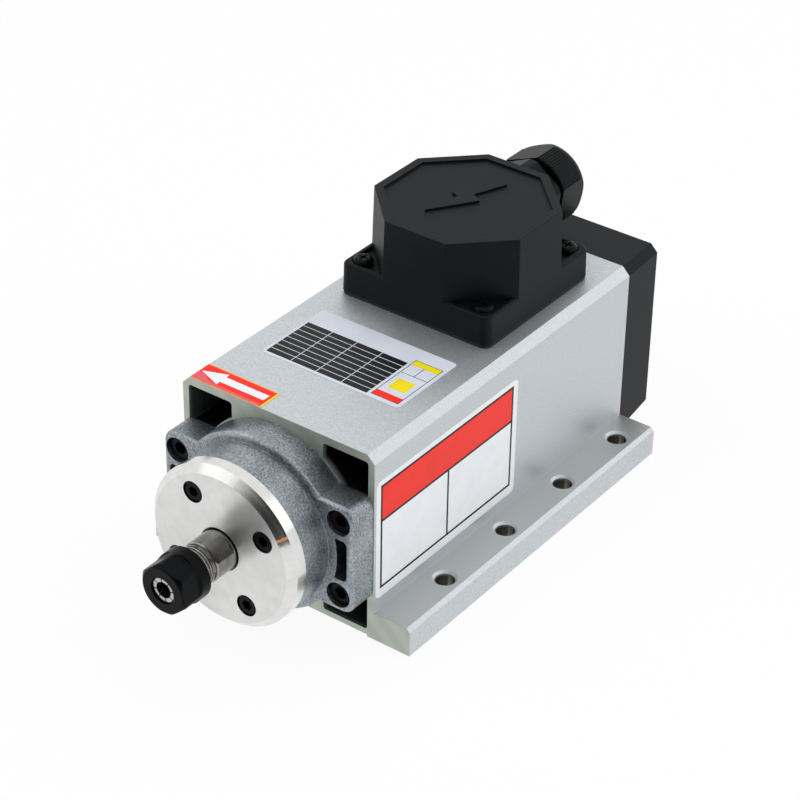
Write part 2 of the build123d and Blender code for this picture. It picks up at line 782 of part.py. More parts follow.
# ---------------------------------------------------------------- rear bearing plate and spring
plate_front = rear_face - plate_spigot
hub_front = plate_front - plate_hub_front
plate_hub_radius = rear_bearing_outer + plate_hub_wall
plate_seat_radius = rear_bearing_outer + seat_gap
plate_bore = shoulder_radius + running_gap
plate_spigot_radius = stator_seat_radius - seat_gap
plate_flange_radius = stator_seat_radius + plate_lip

with BuildPart() as rear_bearing_plate:
    with BuildSketch(profile()):
        with BuildLine():
            Polyline((plate_rear, plate_bore), (plate_rear, plate_flange_radius),
                     (rear_face, plate_flange_radius), (rear_face, plate_spigot_radius),
                     (plate_front, plate_spigot_radius),
                     (plate_front, stator_seat_radius - plate_rim),
                     (plate_rear - plate_web, stator_seat_radius - plate_rim),
                     (plate_rear - plate_web, plate_hub_radius), (hub_front, plate_hub_radius),
                     (hub_front, plate_seat_radius), (spring_rear, plate_seat_radius),
                     (spring_rear, plate_bore), close=True)
        make_face()
    revolve(axis=spindle_axis)
    # ears that the cap screws pass through
    with BuildSketch(section(plate_rear)):
        with Locations((0, web_screw_z), (0, -web_screw_z)):
            SlotCenterToCenter(2 * web_screw_x, 2 * plate_ear_radius)
        Circle(plate_spigot_radius, mode=Mode.SUBTRACT)
    extrude(amount=plate_flange)
    with BuildSketch(section(plate_rear)):
        with GridLocations(2 * web_screw_x, 2 * web_screw_z, 2, 2):
            Circle(rear_screw_radius + through_gap)
    extrude(amount=plate_flange, mode=Mode.SUBTRACT)
save(rear_bearing_plate.part, "rear_bearing_plate")

# conical disc spring that preloads the bearings through the outer ring
with BuildPart() as preload_spring:
    spring_front = spring_rear - spring_height
    spring_inner = rear_bearing_outer - ring_wall
    spring_outer = rear_bearing_outer - running_gap
    with BuildSketch(profile()):
        with BuildLine():
            Polyline((spring_front, spring_outer), (spring_front + spring_thickness, spring_outer),
                     (spring_rear, spring_inner), (spring_rear - spring_thickness, spring_inner),
                     close=True)
        make_face()
    revolve(axis=spindle_axis)
save(preload_spring.part, "preload_spring")

# ---------------------------------------------------------------- cooling fan
with BuildPart() as cooling_fan:
    with BuildSketch(section(fan_front + fan_disc)):
        Circle(fan_radius)
    extrude(amount=fan_disc)
    with BuildSketch(section(groove_front)):
        Circle(fan_hub_radius)
    extrude(amount=groove_front - fan_front)
    with BuildSketch(section(fan_rear)):
        with PolarLocations(0, fan_blades):
            with BuildLine():
                outer_edge = ThreePointArc((fan_hub_radius - blade_root, blade_thickness / 2),
                                           (0.7 * fan_radius, blade_bow + blade_thickness / 2),
                                           (blade_tip, blade_thickness / 2 - blade_sweep))
                inner_edge = ThreePointArc((fan_hub_radius - blade_root, -blade_thickness / 2),
                                           (0.7 * fan_radius, blade_bow - blade_thickness / 2),
                                           (blade_tip, -blade_thickness / 2 - blade_sweep))
                Line(outer_edge @ 0, inner_edge @ 0)
                Line(outer_edge @ 1, inner_edge @ 1)
            make_face()
    extrude(amount=fan_depth)
    with BuildSketch(section(fan_rear)):
        Circle(fan_hub_radius - 1)
    extrude(amount=fan_rear - groove_front, mode=Mode.SUBTRACT)
    with BuildSketch(section(fan_rear)):
        Circle(fan_seat_radius)
    extrude(amount=fan_depth, mode=Mode.SUBTRACT)
save(cooling_fan.part, "cooling_fan")

with BuildPart() as fan_circlip:
    with BuildSketch(section(groove_rear - 0.05)):
        Circle(fan_seat_radius - circlip_groove + seat_gap + circlip_height)
        Circle(fan_seat_radius - circlip_groove + seat_gap, mode=Mode.SUBTRACT)
        Rectangle(3 * fan_seat_radius, 0.9 * fan_seat_radius, align=(Align.MIN, Align.CENTER),
                  mode=Mode.SUBTRACT)
    extrude(amount=circlip_thickness - 0.1)
save(fan_circlip.part, "fan_circlip")


# ---------------------------------------------------------------- rear cap
def cap_outline(y, inset):
    """Chamfered outline of the rear cap at a station, smaller all round by inset."""
    share = (y - rear_face) / rear_cap_depth
    half = body_width / 2 - rear_cap_side_draft * share - inset
    low = rear_cap_bottom + rear_cap_bottom_draft * share + inset
    high = body_height - rear_cap_top_draft * share - inset
    with BuildSketch(section(y, 0)) as shape:
        with Locations((0, (low + high) / 2)):
            Rectangle(2 * half, high - low)
        chamfer(shape.vertices(), body_corner - inset * (2 - sqrt(2)))
    return shape.sketch


cavity_rear = cap_wall_rear - rear_cap_wall
with BuildPart() as cap_cavity:
    add(cap_outline(rear_face, rear_cap_wall))
    add(cap_outline(cavity_rear, rear_cap_wall))
    loft()
    with BuildSketch(section(cavity_rear)):
        with GridLocations(2 * web_screw_x, 2 * web_screw_z, 2, 2):
            Circle(rear_boss_radius)
    extrude(amount=cavity_rear - plate_rear, mode=Mode.SUBTRACT)

with BuildPart() as rear_cap:
    add(cap_outline(rear_face, 0))
    add(cap_outline(cap_wall_rear, 0))
    loft()
    fillet(rear_cap.edges().group_by(Axis.Y)[-1], rear_cap_edge)
    add(cap_cavity.part, mode=Mode.SUBTRACT)
    with BuildSketch(section(cap_wall_rear)):
        with GridLocations(2 * web_screw_x, 2 * web_screw_z, 2, 2):
            Circle(rear_counterbore_radius)
    extrude(amount=rear_counterbore_depth, mode=Mode.SUBTRACT)
    with BuildSketch(section(cap_wall_rear)):
        with GridLocations(2 * web_screw_x, 2 * web_screw_z, 2, 2):
            Circle(rear_screw_radius + through_gap)
    extrude(amount=rear_cap_depth, mode=Mode.SUBTRACT)
    # grille: rings of slots parted by spokes
    with BuildSketch(section(cap_wall_rear)):
        for ring in range(grille_rings):
            ring_inner = grille_inner + ring * (grille_slot + grille_bar)
            with BuildSketch(mode=Mode.PRIVATE) as ring_slot:
                Circle(ring_inner + grille_slot)
                Circle(ring_inner, mode=Mode.SUBTRACT)
            add(ring_slot.sketch)
        with Locations(Rotation(0, 0, 45)):
            Rectangle(body_width, grille_spoke, mode=Mode.SUBTRACT)
            Rectangle(grille_spoke, body_width, mode=Mode.SUBTRACT)
    extrude(amount=rear_cap_wall, mode=Mode.SUBTRACT)
save(rear_cap.part, "rear_cap")

rear_screw_seat = cap_wall_rear - rear_counterbore_depth
rear_screw_length = rear_screw_seat - rear_face + tapped_depth - screw_end_gap
rear_screw = socket_screw(rear_screw_radius, rear_screw_length, 1.75 * rear_screw_radius,
                          2 * rear_screw_radius)
with BuildPart() as rear_cap_screws:
    rear_view = Plane(origin=(0, rear_screw_seat, axis_height), x_dir=(-1, 0, 0), z_dir=(0, 1, 0))
    with Locations(rear_view):
        with GridLocations(2 * web_screw_x, 2 * web_screw_z, 2, 2):
            add(rear_screw)
save(rear_cap_screws.part, "rear_cap_screws")

# ---------------------------------------------------------------- terminal box

def octagon(height, inset=0.0):
    """Tower octagon at a height above the box base, its sides leaning in with the draft."""
    with BuildSketch(Plane((0, box_y, box_base + height))) as shape:
        RegularPolygon(box_width / 2 - height * draft - inset, 8, major_radius=False, rotation=22.5)
    return shape.sketch


with BuildPart() as terminal_box:
    with BuildSketch(Plane((0, box_y, box_base))):
        RectangleRounded(box_width, box_width, box_corner)
    extrude(amount=ledge_height, taper=box_draft)
    fillet(terminal_box.edges().group_by(Axis.Z)[-1], ledge_edge)
    with BuildSketch(Plane((0, box_y, box_base + ledge_height))):
        RectangleRounded(box_width - 2 * pocket_rim, box_width - 2 * pocket_rim, box_corner)
    extrude(amount=-pocket_depth, mode=Mode.SUBTRACT)
    add(octagon(0))
    extrude(amount=box_height, taper=box_draft)
    add(octagon(0, box_wall))
    extrude(amount=box_height - rim_height - box_roof, taper=box_draft, mode=Mode.SUBTRACT)
    add(octagon(box_height, rim_width))
    extrude(amount=-rim_height, mode=Mode.SUBTRACT)
    with Locations((0, box_y, box_base + ledge_height)):
        with GridLocations(box_screw_spacing, box_screw_spacing, 2, 2):
            Hole(box_screw_radius + through_gap, ledge_height)
    # flat pad inside for the gland's locknut, then the entry hole through it
    with BuildSketch(section(locknut_rear + box_pad + 1, gland_z)):
        RectangleRounded(box_pad_width, box_pad_width, box_corner)
        Rectangle(box_pad_width, box_roof_z - gland_z, align=(Align.CENTER, Align.MIN))
    extrude(amount=box_pad + 1 - 0.05)
    with BuildSketch(section(box_y + box_width, gland_z)):
        Circle(gland_thread + through_gap)
    extrude(amount=box_width, mode=Mode.SUBTRACT)
save(terminal_box.part, "terminal_box")

with BuildPart() as terminal_box_gasket:
    with BuildSketch(Plane((0, box_y, body_height))):
        gasket_width = box_width - 2 * gasket_inset
        RectangleRounded(gasket_width, gasket_width, box_corner - gasket_inset)
        RegularPolygon(box_width / 2 - gasket_margin, 8, major_radius=False, rotation=22.5,
                       mode=Mode.SUBTRACT)
        with GridLocations(box_screw_spacing, box_screw_spacing, 2, 2):
            Circle(box_screw_radius + through_gap, mode=Mode.SUBTRACT)
    extrude(amount=gasket_thickness)
save(terminal_box_gasket.part, "terminal_box_gasket")

pocket_floor = box_base + ledge_height - pocket_depth
box_screw = pan_screw(box_screw_radius, pocket_floor - body_height + top_wall,
                      box_head_radius, pan_head_height)
with BuildPart() as terminal_box_screws:
    with Locations((0, box_y, pocket_floor)):
        with GridLocations(box_screw_spacing, box_screw_spacing, 2, 2):
            add(box_screw)
save(terminal_box_screws.part, "terminal_box_screws")

# ---------------------------------------------------------------- terminals and leads
block_y = box_y - block_offset
terminal_pitch = (block_length - block_barrier) / terminal_count
terminal_floor = body_height + block_height - block_groove
with BuildPart() as terminal_block:
    with BuildSketch(Plane((0, block_y, body_height))):
        Rectangle(block_length, block_depth)
    extrude(amount=block_height)
    with BuildSketch(Plane((0, block_y, body_height + block_height))):
        with GridLocations(terminal_pitch, 1, terminal_count, 1):
            Rectangle(terminal_pitch - block_barrier, block_depth)
    extrude(amount=-block_groove, mode=Mode.SUBTRACT)
    with Locations((0, block_y, terminal_floor)):
        with GridLocations(terminal_pitch, 1, terminal_count, 1):
            Hole(terminal_screw_radius + screw_gap, terminal_screw_length)
save(terminal_block.part, "terminal_block")

terminal_head_radius = (terminal_pitch - block_barrier) / 2 - terminal_head_gap
terminal_screw = pan_screw(terminal_screw_radius, terminal_screw_length, terminal_head_radius, 1.8)
with BuildPart() as terminal_screws:
    with Locations((0, block_y, terminal_floor)):
        with GridLocations(terminal_pitch, 1, terminal_count, 1):
            add(terminal_screw)
save(terminal_screws.part, "terminal_screws")

with BuildPart() as earth_screw:
    with Locations((earth_screw_x, box_y + earth_screw_offset, body_height)):
        add(pan_screw(box_screw_radius, top_wall, pan_head_radius, pan_head_height))
save(earth_screw.part, "earth_screw")

lead_y = box_y + lead_offset
with BuildPart() as motor_leads:
    for place in (-1, 0, 1):
        lead_x = place * lead_pitch
        inner_edge = max(abs(lead_x) - lead_radius, 0)
        lead_foot = axis_height + sqrt(winding_outer ** 2 - inner_edge ** 2) + winding_gap
        lead_top = body_height + lead_rise
        with BuildLine() as route:
            FilletPolyline((lead_x, lead_y, lead_foot), (lead_x, lead_y, lead_top),
                           (lead_x, block_y + block_depth / 2, lead_top), radius=lead_bend)
        with BuildSketch(Plane(origin=route.line @ 0, z_dir=route.line % 0)):
            Circle(lead_radius)
        sweep(path=route.line)
save(motor_leads.part, "motor_leads")

# ---------------------------------------------------------------- cable gland
locknut_front = locknut_rear - locknut_thickness
neck_rear = hex_rear + gland_neck_length
finger_rear = neck_rear + finger_length
finger_inner = seal_radius + running_gap
finger_outer = finger_inner + finger_wall
thread_front = locknut_front - 1.5
gland_bore = seal_radius - 1.5

with BuildPart() as gland_body:
    with BuildSketch(section(hex_rear, gland_z)):
        RegularPolygon(gland_hex / 2, 6, major_radius=False, rotation=gland_hex_angle)
        Circle(gland_hex_corner, mode=Mode.INTERSECT)
    extrude(amount=gland_hex_length)
    with BuildSketch(profile(gland_z)):
        with BuildLine():
            Polyline((thread_front, gland_bore), (thread_front, gland_thread),
                     (hex_front, gland_thread), (hex_rear, gland_thread), (hex_rear, gland_neck),
                     (neck_rear, gland_neck), (neck_rear, finger_outer),
                     (finger_rear, finger_outer), (finger_rear, finger_inner),
                     (hex_rear + 1, finger_inner), (hex_rear + 1, gland_bore), close=True)
        make_face()
    revolve(axis=gland_axis)
    with BuildSketch(section(finger_rear, gland_z)):
        Circle(gland_bore)
    extrude(amount=finger_rear - thread_front, mode=Mode.SUBTRACT)
    with BuildSketch(section(finger_rear, gland_z)):
        with PolarLocations(0, finger_count):
            Rectangle(2 * gland_neck, finger_slit, align=(Align.MIN, Align.CENTER))
    extrude(amount=finger_length, mode=Mode.SUBTRACT)
save(gland_body.part, "gland_body")

with BuildPart() as gland_locknut:
    with BuildSketch(section(locknut_rear, gland_z)):
        RegularPolygon(locknut_flats / 2, 6, major_radius=False)
        Circle(gland_thread + screw_gap, mode=Mode.SUBTRACT)
    extrude(amount=locknut_thickness)
save(gland_locknut.part, "gland_locknut")

seal_front = hex_rear + 1 + running_gap
save(tube(seal_front, seal_front + seal_length, cable_radius, seal_radius, gland_z), "gland_seal")

dome_front = hex_rear + dome_gap
grip_rear = dome_front + dome_grip
dome_rear = grip_rear + dome_round
dome_bore = gland_neck + running_gap
slip_ring_front = max(finger_rear, seal_front + seal_length) + running_gap
slip_ring_rear = slip_ring_front + slip_ring_thickness
dome_step = slip_ring_rear + running_gap

save(tube(slip_ring_front, slip_ring_rear, dome_mouth, finger_outer, gland_z), "gland_slip_ring")

with BuildPart() as gland_dome_nut:
    with BuildSketch(profile(gland_z)):
        with BuildLine():
            Polyline((grip_rear, dome_radius), (dome_front, dome_radius), (dome_front, dome_bore),
                     (dome_step, dome_bore), (dome_rear - dome_bevel, dome_mouth), (dome_rear, dome_mouth),
                     (dome_rear, dome_radius - dome_round))
            JernArc((dome_rear, dome_radius - dome_round), (0, 1), dome_round, 90)
        make_face()
    revolve(axis=gland_axis)
    with BuildSketch(section(dome_rear, gland_z)):
        with PolarLocations(dome_radius - dome_flat_depth, dome_flats, dome_flat_angle):
            Rectangle(dome_radius, 2 * dome_radius, align=(Align.MIN, Align.CENTER))
    extrude(amount=dome_rear - dome_front, mode=Mode.SUBTRACT)
save(gland_dome_nut.part, "gland_dome_nut")
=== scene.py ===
import json
import math

import bmesh
import bpy
from mathutils import Matrix, Vector


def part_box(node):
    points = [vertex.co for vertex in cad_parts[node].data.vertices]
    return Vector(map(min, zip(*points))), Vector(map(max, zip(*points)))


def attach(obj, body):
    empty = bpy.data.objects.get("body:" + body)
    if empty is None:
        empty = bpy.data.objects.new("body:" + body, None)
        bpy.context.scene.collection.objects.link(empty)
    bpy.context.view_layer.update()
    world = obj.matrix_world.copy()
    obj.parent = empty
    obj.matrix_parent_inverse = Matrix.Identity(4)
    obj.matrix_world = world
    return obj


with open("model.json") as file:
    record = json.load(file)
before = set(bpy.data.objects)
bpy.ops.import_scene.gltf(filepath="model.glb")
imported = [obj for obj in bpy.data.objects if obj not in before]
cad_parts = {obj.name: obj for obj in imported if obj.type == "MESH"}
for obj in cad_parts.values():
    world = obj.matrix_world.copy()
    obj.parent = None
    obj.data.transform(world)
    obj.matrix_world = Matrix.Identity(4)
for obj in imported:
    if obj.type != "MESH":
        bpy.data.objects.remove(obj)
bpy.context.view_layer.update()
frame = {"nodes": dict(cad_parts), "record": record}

NODES = frame["nodes"]
MM = 0.001

# ---------------------------------------------------------------- places on the object
# in metres
BODY_LOW, BODY_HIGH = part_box("housing_extrusion")
CAP_LOW, CAP_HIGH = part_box("front_cap")
NUT_LOW, NUT_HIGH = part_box("collet_nut")
GASKET_LOW, GASKET_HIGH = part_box("terminal_box_gasket")
DOME_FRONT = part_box("gland_dome_nut")[0][1]
AXIS_Z = (NUT_LOW[2] + NUT_HIGH[2]) / 2         # the spindle's axis above the foot's underside
# in millimetres
NUT_REAR = NUT_HIGH[1] / MM
FRONT_FACE = BODY_LOW[1] / MM                   # front end of the extrusion
BODY_TOP = BODY_HIGH[2] / MM
BODY_SIDE = 40.0                                # half the width of the square body above the foot
FOOT_TOP = 11.0
HOLE_ROW = 47.5                                 # the foot's rows of holes from the middle plane
HOLE_RADIUS = 3.5
CAP_CHAMFER = 2.7
LID_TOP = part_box("terminal_box")[1][2] / MM
BOX_Y = (GASKET_LOW[1] + GASKET_HIGH[1]) / 2 / MM    # middle of the terminal box

# sockets of a Mix node that mixes colours, by index because its names repeat
MIX_A, MIX_B, MIX_COLOUR = 6, 7, 2
# a wave pattern at scale 1 goes through this many radians in a metre, and half as many on
# its diagonal; its crests are 2 pi radians apart
WAVE_RATE = 20


# ---------------------------------------------------------------- small helpers
def linear(hex_colour):
    """An sRGB hex colour as the linear values that the shaders take."""
    parts = [int(hex_colour[i:i + 2], 16) / 255 for i in (1, 3, 5)]
    return tuple(part / 12.92 if part <= 0.04045 else ((part + 0.055) / 1.055) ** 2.4
                 for part in parts) + (1.0,)


def add_node(tree, kind, settings=None, inputs=None):
    """One node; settings are its properties, inputs are values or links by socket name or index."""
    made = tree.nodes.new(kind)
    for name, value in (settings or {}).items():
        setattr(made, name, value)
    for key, value in (inputs or {}).items():
        socket = made.inputs[key]
        if isinstance(value, bpy.types.NodeSocket):
            tree.links.new(value, socket)
        else:
            socket.default_value = value
    return made


def new_material(name, colour, metallic, roughness, **more):
    """A material with its shader's constants set; returns it, its tree and the shader.
    More constants are given by their sockets' names, with _ for a space."""
    material = bpy.data.materials.new(name)
    material.use_nodes = True
    tree = material.node_tree
    shader = tree.nodes["Principled BSDF"]
    shader.inputs["Base Color"].default_value = linear(colour)
    shader.inputs["Metallic"].default_value = metallic
    shader.inputs["Roughness"].default_value = roughness
    for key, value in more.items():
        shader.inputs[key.replace("_", " ")].default_value = value
    material.diffuse_color = linear(colour)
    return material, tree, shader


def two_tones(ramp, dark, light, low=0.35, high=0.65):
    """Sets a colour ramp to run from one tone to another."""
    for stop, place, tone in zip(ramp.color_ramp.elements, (low, high), (dark, light)):
        stop.position = place
        stop.color = linear(tone)
    return ramp


# ---------------------------------------------------------------- finishes of the outer metal
def anodised_extrusion():
    """Aluminium extrusion, blasted and clear anodised: pale satin grey with a fine even sparkle.
    Its sawn and milled ends are a duller grey, and the ducts within are painted dark as shade, the
    deeper the darker."""
    material, tree, shader = new_material("aluminium_anodised_blasted", "#CCD0D3", 0.88, 0.48)
    place = add_node(tree, "ShaderNodeTexCoord")
    # blasting grain is about 0.1 mm; drawn at 0.4 mm so that it shows
    fine = add_node(tree, "ShaderNodeTexNoise", None, {
        "Vector": place.outputs["Object"], "Scale": 1 / (0.4 * MM), "Detail": 3.0, "Roughness": 0.7})
    skin = two_tones(add_node(tree, "ShaderNodeValToRGB", None, {"Fac": fine.outputs["Fac"]}),
                     "#B7BCC0", "#DEE2E5", 0.32, 0.68)
    # ends: faces that look along the extrusion
    facing = add_node(tree, "ShaderNodeSeparateXYZ", None, {"Vector": place.outputs["Normal"]})
    along = add_node(tree, "ShaderNodeMath", {"operation": "ABSOLUTE"}, {0: facing.outputs["Y"]})
    is_end = add_node(tree, "ShaderNodeMath", {"operation": "GREATER_THAN"}, {
        0: along.outputs["Value"], 1: 0.95})
    # mill marks under 1 mm apart; drawn 7 mm apart on the cut as a slow change of its grey
    marks = add_node(tree, "ShaderNodeTexWave", {
        "wave_type": "BANDS", "bands_direction": "DIAGONAL"}, {
        "Vector": place.outputs["Object"], "Scale": 1 / (0.8 * MM) / WAVE_RATE, "Distortion": 0.6})
    cut = two_tones(add_node(tree, "ShaderNodeValToRGB", None, {"Fac": marks.outputs["Fac"]}),
                    "#B2B8AC", "#BAC0B4", 0.0, 1.0)
    skin_or_end = add_node(tree, "ShaderNodeMix", {"data_type": "RGBA"}, {
        "Factor": is_end.outputs["Value"], MIX_A: skin.outputs["Color"],
        MIX_B: cut.outputs["Color"]})
    # the foot's top is milled flat and duller than the skin, and its darker grey is partly painted
    # shade
    point = add_node(tree, "ShaderNodeSeparateXYZ", None, {"Vector": place.outputs["Object"]})
    on_foot = add_node(tree, "ShaderNodeMath", {"operation": "LESS_THAN"}, {
        0: point.outputs["Z"], 1: FOOT_TOP * MM + 0.5 * MM})
    upward = add_node(tree, "ShaderNodeMath", {"operation": "GREATER_THAN"}, {
        0: facing.outputs["Z"], 1: 0.9})
    milled = add_node(tree, "ShaderNodeMath", {"operation": "MULTIPLY"}, {
        0: on_foot.outputs["Value"], 1: upward.outputs["Value"]})
    skin_or_shaded_foot = add_node(tree, "ShaderNodeMix", {"data_type": "RGBA"}, {
        "Factor": milled.outputs["Value"], MIX_A: skin_or_end.outputs[MIX_COLOUR],
        MIX_B: linear("#BFC4C3")})
    # the walls of its drilled holes are darker, from just under their mouths down: partly the drilled
    # metal, partly painted shade in the holes
    sideways = add_node(tree, "ShaderNodeMath", {"operation": "ABSOLUTE"}, {0: point.outputs["X"]})
    from_hole_row = add_node(tree, "ShaderNodeMath", {"operation": "SUBTRACT"}, {
        0: sideways.outputs["Value"], 1: HOLE_ROW * MM})
    beside_row = add_node(tree, "ShaderNodeMath", {"operation": "ABSOLUTE"}, {
        0: from_hole_row.outputs["Value"]})
    in_row = add_node(tree, "ShaderNodeMath", {"operation": "LESS_THAN"}, {
        0: beside_row.outputs["Value"], 1: (HOLE_RADIUS + 0.7) * MM})
    below = add_node(tree, "ShaderNodeMapRange", {"interpolation_type": "SMOOTHSTEP"}, {
        "Value": point.outputs["Z"], "From Min": FOOT_TOP * MM - 0.7 * MM,
        "From Max": FOOT_TOP * MM - 2.2 * MM, "To Min": 0.0, "To Max": 1.0})
    off_end = add_node(tree, "ShaderNodeMath", {"operation": "SUBTRACT"}, {
        0: 1.0, 1: is_end.outputs["Value"]})
    low_in_row = add_node(tree, "ShaderNodeMath", {"operation": "MULTIPLY"}, {
        0: in_row.outputs["Value"], 1: below.outputs["Result"]})
    drilled_and_shaded = add_node(tree, "ShaderNodeMath", {"operation": "MULTIPLY"}, {
        0: low_in_row.outputs["Value"], 1: off_end.outputs["Value"]})
    with_shaded_holes = add_node(tree, "ShaderNodeMix", {"data_type": "RGBA"}, {
        "Factor": drilled_and_shaded.outputs["Value"], MIX_A: skin_or_shaded_foot.outputs[MIX_COLOUR],
        MIX_B: linear("#5F5C52")})
    # inside the ducts: painted shade, darker the deeper a point lies under the outer faces
    centre = (0.0, (BODY_LOW[1] + BODY_HIGH[1]) / 2, BODY_HIGH[2] / 2)
    half = (BODY_SIDE * MM - 1.2 * MM, (BODY_HIGH[1] - BODY_LOW[1]) / 2 - 0.4 * MM,
            BODY_HIGH[2] / 2 - 1.5 * MM)
    centred = add_node(tree, "ShaderNodeVectorMath", {"operation": "SUBTRACT"}, {
        0: place.outputs["Object"], 1: centre})
    outward = add_node(tree, "ShaderNodeVectorMath", {"operation": "ABSOLUTE"}, {
        0: centred.outputs["Vector"]})
    depths = add_node(tree, "ShaderNodeVectorMath", {"operation": "SUBTRACT"}, {
        0: half, 1: outward.outputs["Vector"]})
    depth = add_node(tree, "ShaderNodeSeparateXYZ", None, {"Vector": depths.outputs["Vector"]})
    across = add_node(tree, "ShaderNodeMath", {"operation": "MINIMUM"}, {
        0: depth.outputs["X"], 1: depth.outputs["Z"]})
    nearest = add_node(tree, "ShaderNodeMath", {"operation": "MINIMUM"}, {
        0: across.outputs["Value"], 1: depth.outputs["Y"]})
    duct_shade = add_node(tree, "ShaderNodeMapRange", {"interpolation_type": "SMOOTHSTEP"}, {
        "Value": nearest.outputs["Value"], "From Min": 0.0, "From Max": 2.5 * MM,
        "To Min": 0.0, "To Max": 1.0})
    colour = add_node(tree, "ShaderNodeMix", {"data_type": "RGBA"}, {
        "Factor": duct_shade.outputs["Result"], MIX_A: with_shaded_holes.outputs[MIX_COLOUR],
        MIX_B: linear("#1D1D1A")})
    tree.links.new(colour.outputs[MIX_COLOUR], shader.inputs["Base Color"])
    gloss = add_node(tree, "ShaderNodeMapRange", None, {
        "Value": fine.outputs["Fac"], "To Min": 0.42, "To Max": 0.56})
    tree.links.new(gloss.outputs["Result"], shader.inputs["Roughness"])
    # edges are eased by about 0.2 mm in the blasting drum
    eased = add_node(tree, "ShaderNodeBevel", {"samples": 4}, {"Radius": 0.22 * MM})
    relief = add_node(tree, "ShaderNodeBump", None, {
        "Height": fine.outputs["Fac"], "Distance": 0.02 * MM, "Strength": 0.5,
        "Normal": eased.outputs["Normal"]})
    tree.links.new(relief.outputs["Normal"], shader.inputs["Normal"])
    return material


def blasted_casting():
    """Die-cast aluminium, shot blasted: a bluish mid grey whose coarse dimples glitter, with soft
    edges."""
    material, tree, shader = new_material("aluminium_die_cast_blasted", "#929CA5", 1.0, 0.42)
    place = add_node(tree, "ShaderNodeTexCoord")
    # shot dimples of 0.3 to 0.6 mm, drawn at 0.7 mm so that they glitter
    dimples = add_node(tree, "ShaderNodeTexNoise", None, {
        "Vector": place.outputs["Object"], "Scale": 1 / (0.7 * MM), "Detail": 4.0, "Roughness": 0.8})
    # slow clouding where the metal cooled, some 12 mm across
    cloud = add_node(tree, "ShaderNodeTexNoise", None, {
        "Vector": place.outputs["Object"], "Scale": 1 / (12 * MM), "Detail": 2.0})
    both = add_node(tree, "ShaderNodeMath", {"operation": "MULTIPLY_ADD"}, {
        0: cloud.outputs["Fac"], 1: 0.25, 2: dimples.outputs["Fac"]})
    tones = two_tones(add_node(tree, "ShaderNodeValToRGB", None, {"Fac": both.outputs["Value"]}),
                      "#5C666F", "#C9D0D5", 0.46, 0.84)
    tree.links.new(tones.outputs["Color"], shader.inputs["Base Color"])
    gloss = add_node(tree, "ShaderNodeMapRange", None, {
        "Value": dimples.outputs["Fac"], "From Min": 0.3, "From Max": 0.7,
        "To Min": 0.32, "To Max": 0.52})
    tree.links.new(gloss.outputs["Result"], shader.inputs["Roughness"])
    eased = add_node(tree, "ShaderNodeBevel", {"samples": 4}, {"Radius": 0.35 * MM})
    relief = add_node(tree, "ShaderNodeBump", None, {
        "Height": dimples.outputs["Fac"], "Distance": 0.08 * MM, "Strength": 0.9,
        "Normal": eased.outputs["Normal"]})
    tree.links.new(relief.outputs["Normal"], shader.inputs["Normal"])
    return material


def turned_metal(name, colour, dark, light, low, high, ring_mm, stretch):
    """Metal cut or ground while it turned about the spindle's axis. Rings too fine to see draw every
    reflection out across them, so a flat face shows a bright or dark wedge from its middle."""
    quarter_turn = 0.25     # from the rings' direction to the radius
    material, tree, shader = new_material(name, colour, 1.0, (low + high) / 2,
                                          Anisotropic=stretch, Anisotropic_Rotation=quarter_turn)
    place = add_node(tree, "ShaderNodeTexCoord")
    centred = add_node(tree, "ShaderNodeMapping", None, {
        "Vector": place.outputs["Object"], "Location": (0, 0, -AXIS_Z)})
    around = add_node(tree, "ShaderNodeVectorMath", {"operation": "CROSS_PRODUCT"}, {
        0: centred.outputs["Vector"], 1: (0, 1, 0)})
    outward = add_node(tree, "ShaderNodeVectorTransform", {
        "vector_type": "VECTOR", "convert_from": "OBJECT", "convert_to": "WORLD"}, {
        "Vector": around.outputs["Vector"]})
    tree.links.new(outward.outputs["Vector"], shader.inputs["Tangent"])
    # the tool's feed is under 0.1 mm a turn; the rings are drawn nearly 2 mm apart so that they show
    rings = add_node(tree, "ShaderNodeTexWave", {
        "wave_type": "RINGS", "rings_direction": "Y", "wave_profile": "SIN"}, {
        "Vector": centred.outputs["Vector"], "Scale": 1 / (ring_mm * MM) / WAVE_RATE,
        "Distortion": 0.0})
    # handling marks, some 5 mm across
    wear = add_node(tree, "ShaderNodeTexNoise", None, {
        "Vector": place.outputs["Object"], "Scale": 1 / (5 * MM), "Detail": 3.0})
    tones = two_tones(add_node(tree, "ShaderNodeValToRGB", None, {"Fac": wear.outputs["Fac"]}),
                      dark, light)
    tree.links.new(tones.outputs["Color"], shader.inputs["Base Color"])
    # flat faces are rougher along the radius than the burnished chamfer and rim
    facing = add_node(tree, "ShaderNodeSeparateXYZ", None, {"Vector": place.outputs["Normal"]})
    flatness = add_node(tree, "ShaderNodeMath", {"operation": "ABSOLUTE"}, {0: facing.outputs["Y"]})
    worked = add_node(tree, "ShaderNodeMapRange", None, {
        "Value": flatness.outputs["Value"], "From Min": 0.8, "From Max": 1.0,
        "To Min": low, "To Max": high})
    gloss = add_node(tree, "ShaderNodeMath", {"operation": "MULTIPLY_ADD"}, {
        0: rings.outputs["Fac"], 1: 0.03, 2: worked.outputs["Result"]})
    tree.links.new(gloss.outputs["Value"], shader.inputs["Roughness"])
    return material


